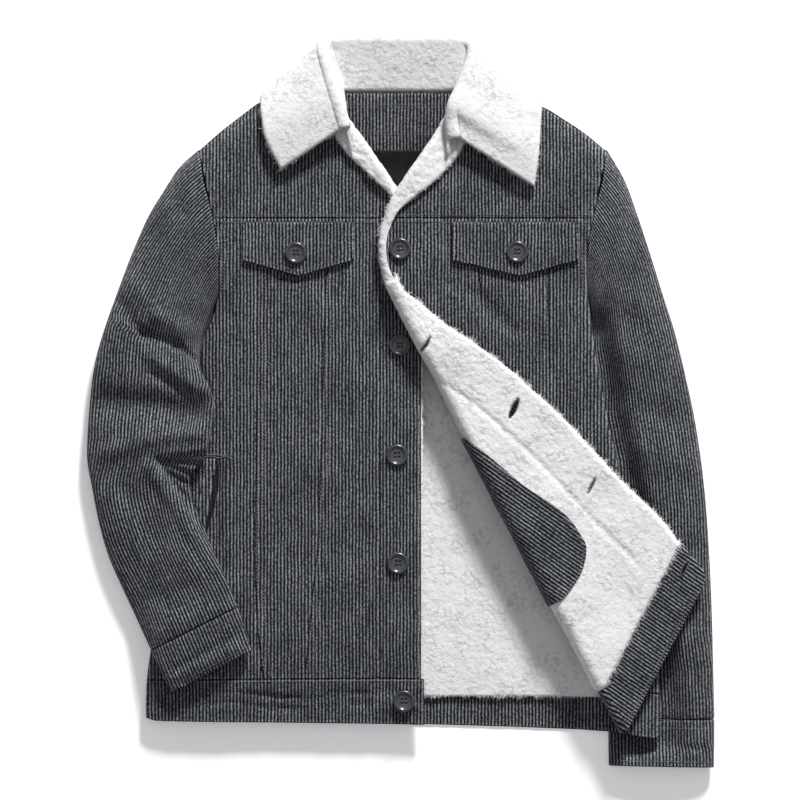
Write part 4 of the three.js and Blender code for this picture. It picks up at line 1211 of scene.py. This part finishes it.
stations = np.linspace(0, len(COLLAR) - 1, 290)
lines = [through(*zip(range(len(COLLAR)), COLLAR[:, k]))(stations) for k in range(9)]
seam, roll, leaf_edge = (np.stack([lines[k], -lines[k + 1], lines[k + 2]], -1) for k in (0, 3, 6))
along_roll = unit(np.gradient(roll, axis=0))
to_seam, to_edge = (
    unit(line - roll - along_roll * np.sum((line - roll) * along_roll, -1, keepdims=True))
    for line in (seam, leaf_edge)
)
over, tip = unit(to_edge - to_seam), -unit(to_edge + to_seam)
COLLAR_ROLL = 5
bend_angle = np.linspace(0, np.pi, 12)[None, :, None]
bend = (
    (roll - COLLAR_ROLL * tip)[:, None] - COLLAR_ROLL * np.cos(bend_angle) * over[:, None]
    + COLLAR_ROLL * np.sin(bend_angle) * tip[:, None]
)
stand = mix(seam[:, None], bend[:, :1], np.linspace(0, 1, 26)[None, :-1, None])
leaf = mix(bend[:, -1:], leaf_edge[:, None], np.linspace(0, 1, 44)[None, 1:, None])
collar_grid = np.concatenate([stand, bend, leaf], 1)
down, across = runs(collar_grid, 0), runs(collar_grid, 1)
depth = pile(down, across + 90)
edge = from_edges(collar_grid)
sign = facing_up(collar_grid[:, -40:])
thin = 1.5 * (1 - rise(edge, 4))
collar_top = offset(collar_grid, sign * (2.4 + 0.8 * (depth - 0.5) - thin))
collar_under = offset(collar_grid, -sign * (2.6 + 0.5 * (depth - 0.5) - thin))
collar_under[..., 2] = np.maximum(collar_under[..., 2], 0.3)
collar = slab("collar_pile", collar_under, collar_top, np.stack([down, across], -1), marks={"pile": depth})
dressed(
    collar, COLLAR_SHERPA_PAINTED_SHADE, "collar", collar_grid,
)
fringe(
    "collar_tufts",
    [
        (collar_top[:, -1], collar_top[:, -4]), (collar_top[0, 24:], collar_top[3, 24:]),
        (collar_top[-1, 24:], collar_top[-4, 24:]), (collar_top[:, 0], collar_top[:, 2]),
    ],
    3.4, 5.5, 55, COLLAR_SHERPA_PAINTED_SHADE,
)

# The sleeves and cuffs
# Two long sleeves of corduroy with their wales down the arm, set into the armholes, and deep cuffs. The
# left one bends at the elbow, so it creases there, and its forearm lies over the front. The right one lies
# under the side.

SLEEVE_LEFT = [
    (197, 149, 217.5, 298, 25), (178, 167, 211, 312, 25), (162, 192, 206, 325, 25),
    (147, 218, 201, 341, 25), (131, 255, 198.5, 352, 26), (117, 292, 197.5, 362, 27),
    (104, 329, 203, 375, 27), (95, 361, 211, 390, 27), (90, 396, 214, 408, 27), (87, 437, 210, 440, 27),
    (87, 462, 204, 458, 27), (92, 490, 190, 478, 27), (99, 525, 193, 500, 26), (108, 556, 206, 532, 25),
    (120, 584, 217, 558, 25), (134, 614, 228, 581, 24), (151, 650, 238, 606, 23),
]
SLEEVE_RIGHT = [
    (609, 149, 588.5, 298, 25), (626, 180, 590, 308, 25), (638, 214, 591, 322, 25),
    (651, 255, 590.5, 340, 25), (664, 297, 588, 368, 25), (676, 335, 589, 400, 25),
    (688, 385, 589, 440, 24), (697, 430, 592, 480, 24), (705, 490, 596, 530, 24), (710, 560, 600, 590, 24),
    (712.5, 620, 603, 640, 24), (714, 680, 607, 690, 23), (715, 719, 609, 721, 22),
]
SLEEVE_CREASES = [
    (104, 402, 198, 412, 14, -7.5), (108, 452, 150, 440, 9, 3.2), (150, 439, 196, 434, 5, 1.4),
    (196, 434, 208, 412, 8, 3.0), (118, 300, 142, 334, 6, -3.2), (142, 334, 176, 345, 5, -4.6),
    (176, 345, 207, 372, 5, -4.4), (134, 284, 158, 314, 9, 2.8), (158, 318, 194, 332, 8, 3.2),
    (150, 356, 204, 390, 6.5, 3.4), (150, 374, 196, 402, 4.5, -2.6), (110, 330, 128, 372, 12, 1.6),
    (168, 166, 183, 214, 8, -3.0), (186, 168, 200, 234, 6, 2.4), (201, 158, 214, 236, 3, -3.2),
    (150, 232, 176, 262, 12, -1.4), (112, 500, 146, 560, 11, 1.6), (140, 520, 182, 596, 13, -0.9),
    (166, 520, 204, 580, 8, 1.1), (110, 470, 130, 500, 12, -1.4), (146, 600, 210, 578, 9, -1.2),
    (158, 634, 224, 604, 7, 1.3), (176, 668, 246, 630, 3.2, -2.0), (170, 680, 236, 648, 4, 1.6),
    (186, 683, 244, 655, 2.6, -2.0),
]
SLEEVE_AROUND = 104
SLEEVE_CREASES_RIGHT = [
    (604, 176, 600, 300, 6, -3.6), (616, 176, 622, 262, 8, 1.8), (598, 300, 640, 330, 12, -2.4),
    (604, 345, 662, 366, 13, 2.2), (640, 300, 664, 352, 10, 1.6), (612, 392, 676, 420, 13, -2.6),
    (630, 450, 694, 470, 14, 1.8), (612, 480, 668, 520, 11, -2.0), (640, 560, 700, 548, 12, -1.6),
    (622, 610, 690, 640, 12, 1.6), (650, 680, 706, 668, 9, -1.5), (612, 747, 706, 749, 2.4, -1.9),
    (632, 756, 700, 757, 3.5, 1.0),
]


def carried(x, y):
    """How high the left forearm is carried by the body under it."""
    over = ease(x - left_side(y), -30, 20)
    return (loft_left(y) + 3) * over * ease(y, 335, 390)


def elbow(x, y):
    """The bent elbow, in and below the line of the forearm's inner edge: to its right the cloth drops into
    a hollow whose creases spread from its corner, by a sine of the angle round it, and to its left the edge
    is a soft ridge. Above it lies a shelf of bunched cloth."""
    from_x, from_y = x - 150, y - 456
    along, right = (from_x * 0.547 + from_y * 0.837), (from_x * 0.837 - from_y * 0.547)
    hollow = ease(right, -0.5, 5.5) * ease(from_y + 0.12 * from_x, -2, 10) * (1 - ease(along, 95, 130))
    fan = np.sin(30 * np.arctan2(from_y, from_x + 6)) * ease(right, 3, 12) * (1 - ease(from_y, 40, 70))
    ridge = np.exp(-(((right + 7) / 6) ** 2)) * within(along, -6, 12, 90, 140)
    shelf = within(y + 0.1 * (x - 150), 421, 439, 462, 500) * ease(x, 116, 150)
    return hollow * (-7.0 + 1.3 * fan) + 3.4 * ridge + 3.4 * shelf


def top_left(x, y, full):
    loose = creased(x, y, SLEEVE_CREASES) + elbow(x, y)
    return full + 0.62 * carried(x, y) + loose + 0.7 * drift(x, y, 26, 41)


def top_right(x, y, full):
    free = ease(x - right_side(y), 6, 30)
    under = within(y, 285, 335, 742, 762)
    loose = 0.7 * drift(x, y, 30, 42) + creased(x, y, SLEEVE_CREASES_RIGHT)
    return mix(full, mix(8, full, free), under) + loose * free


def sleeve_sections(first, rows, hug, front, side, bottom, top):
    """Closed sections from the outer edge over the top to the inner edge and back underneath. In a section,
    x and y go as (1 - cos angle) / 2, and z as a power of sin angle above and a clipped multiple of it
    below. Under the arm the lower half reaches in to the side."""
    angle = 2 * np.pi * np.arange(SLEEVE_AROUND)[None, :] / SLEEVE_AROUND
    up, inwards = np.sin(angle), (1 - np.cos(angle)) / 2
    ox, oy, ix, iy, full = (rows[:, k, None] for k in range(5))
    hug = hug[:, None]
    hole_y = mix(first[1], first[3], inwards)
    hole_x = side(hole_y)
    x = mix(ox, ix, inwards) + hug * (hole_x - mix(first[0], first[2], inwards))
    y = mix(oy, iy, inwards)
    slack = within(y, 276, 300, 374, 398) * np.clip(-3 * up, 0, 1) * inwards**3
    x = mix(x, side(y), slack)
    low, high = bottom(x, y), top(x, y, full)
    middle = mix(low, high, 0.45)
    free = np.where(
        up > 0, mix(middle, high, np.maximum(up, 0) ** 0.75), mix(middle, low, np.clip(-1.9 * up, 0, 1))
    )
    share = (1 + np.clip(up / 0.38, -1, 1)) / 2
    at_hole = mix(back(hole_x, hole_y) - 1, front(hole_x, hole_y) + 1, share)
    return np.stack([x, -y, mix(free, at_hole, hug)], -1)


def sleeve_pieces(side_name, rows, cuff_end, front, side, bottom, top):
    """The sleeve's sections run smoothly through its table, and the cuff's go straight on to its end. Wales
    keep their distance from the line down the top of the sleeve, and run out at the seam under it."""
    table = np.array(rows, float)
    index = np.arange(len(table))
    at = np.linspace(0, len(table) - 1, 206)
    fine = np.stack([through(*zip(index, table[:, k]))(at) for k in range(5)], -1)
    hug = through((0, 1), (1, 0.55), (2, 0.25), (3, 0))(at)
    share = spaced(45, 3)[:, None]
    cuff = mix(table[-1], np.array(cuff_end, float), 0.012 + 0.988 * share)
    for node, solids, sections, hugs, wall in (
        (f"sleeve_{side_name}", [f"sleeve_{side_name}_top", f"sleeve_{side_name}_under"], fine, hug, 2),
        (f"cuff_{side_name}", [f"cuff_{side_name}"], cuff, np.zeros(len(cuff)), 2.6),
    ):
        outer = sleeve_sections(table[0], sections, hugs, front, side, bottom, top)
        one, other = offset(outer, wall, True), offset(outer, -wall, True)
        girth = [runs(grid, 1, True)[:, -1].sum() for grid in (one, other)]
        inner = one if girth[0] < girth[1] else other
        around = runs(outer, 1, True)
        crown = around[:, SLEEVE_AROUND // 4, None]
        down = runs(outer, 0)[:, SLEEVE_AROUND // 4, None]
        weave = np.stack([around - crown, down + 0 * around], -1)
        edge = from_edges(outer, True)
        puffed = offset(outer, (1 if girth[0] < girth[1] else -1) * 0.7 * (1 - rise(edge, 1.5)), True)
        piece = slab(node + "_cloth", inner, puffed, weave, True, {"edge": edge})
        flat = np.concatenate([outer, outer[:, :1]], 1)
        dressed(piece, CORDUROY, None, flat)
        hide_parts(*solids)
        if node.startswith("cuff"):
            rings = [np.concatenate([puffed[k], puffed[k, :1]]) for k in (5, -5)]
            stitched(node + "_thread", rings)


sleeve_pieces(
    "left", SLEEVE_LEFT, (172, 692, 252, 650, 22), front_left, left_side, carried, top_left,
)
sleeve_pieces(
    "right", SLEEVE_RIGHT, (714.5, 768, 609, 766, 21), front_right, right_side, lambda x, y: 0 * x, top_right,
)

# The pocket flaps and the hand pocket's welt
# Each chest pocket has a flap of two layers of corduroy, pointed at its lower edge, sewn on at the yoke
# seam and stitched round. The hand pocket by the left side seam has a narrow welt beside its open mouth,
# with a tack on top.

FLAP_SIDE, FLAP_TIP = 39, 54


def pocket_flap(node, left, right, top, tip_x, height):
    """The lower edge is 39 below the top at the sides and falls to 54 at its tip, by a share of the way
    there that is a fifth eased and the rest straight. Its right corner is rounded, and it springs 1 mm off
    the cloth. A row of stitches follows the sides and the lower edge 5 mm in, and one the top."""

    def bottom(x):
        to_tip = np.where(x < tip_x, (x - left) / (tip_x - left), (right - x) / (right - tip_x))
        eased = mix(to_tip, ease(to_tip, 0, 1), 0.2)
        return top + mix(FLAP_SIDE, FLAP_TIP, eased) - 3.5 * (1 - rise(right - x, 6))

    def off(y, over):
        return over + 0.9 * ease(y - top, 12, 46)

    plan = cut(level(left), level(right), level(top), bottom, spaced(45, 2), spaced(right - left, 2))
    shell(node, plan, height, off(plan[1], 1.4), off(plan[1], 4.2), phase=1.7)
    sides = np.linspace(top + 2, top + 34, 22)
    x = np.linspace(left + 5, right - 5, 70)
    path_x = np.concatenate([left + 5 + 0 * sides, x, right - 5 + 0 * sides])
    path_y = np.concatenate([sides, bottom(x) - 5, sides[::-1]])
    across = np.linspace(left + 1, right - 1, 80)
    stitched(node + "_thread", [
        lifted(height, path_x, path_y, off(path_y, 4.0)), lifted(height, across, top + 1.2 + 0 * across, 3.9),
    ])


pocket_flap(
    "flap_left", 243, 353, 222, 298, front_left,
)
pocket_flap(
    "flap_right", 453, 577, 222, 519, front_right,
)


def welt_right(y):
    return mix(217.2, 204.5, (y - 458) / 81)


shell(
    "pocket_welt_left",
    cut(beside(welt_right, -11), welt_right, level(458), level(539), spaced(81, 2.5), spaced(11, 2)),
    front_left, 1.3, 2.8,
)

# A near black strip beside the welt: the painted shade of the pocket's open mouth.
mouth_down, mouth_share = spaced(78, 2.5)[:, None], np.linspace(0, 1, 7)[None, :]
mouth_y = 459.5 + 78 * mouth_down + 0 * mouth_share
mouth_x = welt_right(mouth_y) + mix(-0.8, 0.8 + 4.6 * np.sin(np.pi * mouth_down ** 0.8), mouth_share)
mouth_low, mouth_high = (lifted(front_left, mouth_x, mouth_y, off) for off in (1.0, 1.5))
mouth = slab(
    "pocket_mouth", mouth_low, mouth_high, np.stack([mouth_x, mouth_y], -1), marks={"edge": 9 + 0 * mouth_x},
)
dressed(mouth, PAINTED_SHADE_CORDUROY)

stitched(
    "pocket_tack_thread",
    [row_on(front_left, 1.5, (205, 457), (212, 456), (219, 458), (226, 456), (233, 460)),
     row_on(front_left, 1.5, (206, 455), (214, 454.5), (222, 455.5), (230, 455))],
    pitch=1.9, long=2.0, thick=0.5,
)

# The buttons
# Seven dark grey plastic buttons of 22 mm with a raised rim, a dished middle and four holes, polished to a
# soft gloss, sewn on with two bars of dark thread. Five close the front and one closes each flap.


def plastic_finish():
    """Moulded plastic: nearly even grey with slow clouding, and the polish scuffed by fine noise. The hole
    mark paints the holes near black as shade.
    """
    f = Finish("dark_grey_plastic")
    place = f.place()
    cloud = f.noise(place, 160.0, 3.0, 0.6)
    scuff = f.noise(place, 2400.0, 2.0, 0.7)
    body = f.ramp(cloud, (0.3, (0.03, 0.0325, 0.0365)), (0.7, (0.05, 0.0535, 0.059)))
    f.set(
        Base_Color=f.blend(f.mark("hole"), body, (0.004, 0.004, 0.005)),
        Roughness=0.2 + scuff * 0.14,
        Normal=f.bump(scuff, 0.15, 0.0001),
        Coat_Weight=0.3,
        Coat_Roughness=0.15,
    )
    return f.material


PLASTIC = plastic_finish(), "button"
BUTTON_THREAD = thread_finish("dark_button_thread", 0.45), "corduroy"
HOLE_OUT, BUTTON_RADIUS = 1.8, 11
button_height = through(
    (0, 1.75), (5.5, 1.85), (7.2, 2.2), (8.2, 3.0), (9.2, 3.35), (10.2, 2.9), (10.8, 2.2), (11, 1.5),
)


def make_button(node, x, y, z):
    """A polar grid: rings from the middle out to 11 mm over the profile, and back in underneath. The holes
    are wells about 1.1 mm in radius and 1.6 mm deep, HOLE_OUT along each axis from the middle, and the hole
    mark paints them near black as shade."""
    ring = np.concatenate([
        np.linspace(0.02, 4.2, 15), np.linspace(4.7, BUTTON_RADIUS, 18), [BUTTON_RADIUS, 10.2, 9.2, 5, 0.05]
    ])
    turn = 2 * np.pi * np.arange(64) / 64
    out, angle = ring[:, None], turn[None, :]
    px, py = out * np.cos(angle), out * np.sin(angle)
    high = button_height(out) + 0 * angle
    well = 0 * high
    for sx in (-1, 1):
        for sy in (-1, 1):
            away = np.hypot(px - sx * HOLE_OUT, py - sy * HOLE_OUT)
            well = np.maximum(well, 1 - ease(away, 0.85, 1.35))
    high = high - 1.6 * well
    high[-5:] = np.array([1.1, 0.35, 0, 0, 0])[:, None]
    well[-5:] = 0
    points = np.stack([x + px, -y + py, z + high], -1)
    rows, columns = points.shape[:2]
    i, j = np.meshgrid(np.arange(rows - 1), np.arange(columns), indexing="ij")
    a, b = i * columns + j, i * columns + (j + 1) % columns
    faces = np.stack([a, a + columns, b + columns, b], -1).reshape(-1, 4)
    piece = mesh_of(node + "_disc", points.reshape(-1, 3), faces, None, {"hole": well})
    return dressed(piece, PLASTIC, node)


def button_on(node, x, y, height, over):
    """Sets a button on the highest point of the cloth under its rim, with two strands of thread over each
    pair of its holes."""
    angle = np.linspace(0, 2 * np.pi, 24, endpoint=False)
    rim_x, rim_y = x + BUTTON_RADIUS * np.cos(angle), y + BUTTON_RADIUS * np.sin(angle)
    z = height(rim_x, rim_y).max() + over + 0.3
    make_button(node, x, y, z)
    t = np.linspace(-1, 1, 9)
    arch = z + 1.3 + 0.75 * np.sqrt(1.05 - t * t)
    bars = [
        np.stack([x + side * HOLE_OUT + strand + 0 * t, -y + HOLE_OUT * t, arch], -1)
        for side in (-1, 1) for strand in (-0.28, 0.28)
    ]
    stitched(node + "_thread", bars, pitch=3.9, long=3.4, thick=0.26, look=BUTTON_THREAD)


for node, x, y, height, over in (
    ("button_1", 400, 249, front_right, 1.1), ("button_2", 400, 345, front_left, 1.1),
    ("button_3", 397, 455, front_left, 1.1), ("button_4", 398, 563, front_left, 1.1),
    ("button_5", 404, 701, front_left, 1.3), ("flap_button_left", 296, 253, front_left, 4.6),
    ("flap_button_right", 517, 252, front_right, 4.6),
):
    button_on(node, x, y, height, over)

# The stage
# A pale floor under the jacket, two soft lights and an even pale sky, and the camera straight above.


def floor_finish():
    """Nearly even white by slow noise, with a little light of its own, so that shadows on it stay soft."""
    f = Finish("pale_floor")
    tones = f.ramp(f.noise(f.place(), 3.0, 2.0), (0.3, (0.94, 0.94, 0.94)), (0.7, (0.96, 0.96, 0.96)))
    f.set(Base_Color=tones, Roughness=0.9, Emission_Strength=0.25)
    return f.material


floor_mesh = bpy.data.meshes.new("floor")
floor_mesh.from_pydata([(-30, -30, 0), (30, -30, 0), (30, 30, 0), (-30, 30, 0)], [], [(0, 1, 2, 3)])
floor = bpy.data.objects.new("floor", floor_mesh)
floor_mesh.materials.append(floor_finish())
bpy.context.scene.collection.objects.link(floor)

world = bpy.data.worlds.new("studio")
world.use_nodes = True
world.node_tree.nodes["Background"].inputs["Color"].default_value = (0.94, 0.96, 1.0, 1)
world.node_tree.nodes["Background"].inputs["Strength"].default_value = 0.29
bpy.context.scene.world = world
bpy.context.scene.view_settings.view_transform = "Standard"


def soft_light(name, place, size, power):
    """A square area light that looks at the jacket's middle."""
    data = bpy.data.lights.new(name, "AREA")
    data.size, data.energy = size, power
    light = bpy.data.objects.new(name, data)
    light.location = place
    away = np.array(place) / np.linalg.norm(place)
    light.rotation_euler = (np.arccos(away[2]), 0, np.arctan2(away[1], away[0]) + np.pi / 2)
    bpy.context.scene.collection.objects.link(light)


soft_light("key_light", (1.7, 6.3, 3.2), 1.1, 875)
soft_light("fill_light", (0.5, 0.4, 3.0), 2.2, 7)

camera_data = bpy.data.cameras.new("camera")
camera_data.lens, camera_data.sensor_width = 270, 36
camera = bpy.data.objects.new("camera", camera_data)
camera.location = (-0.001, 0.0006, 6.02)
bpy.context.scene.collection.objects.link(camera)
bpy.context.scene.camera = camera
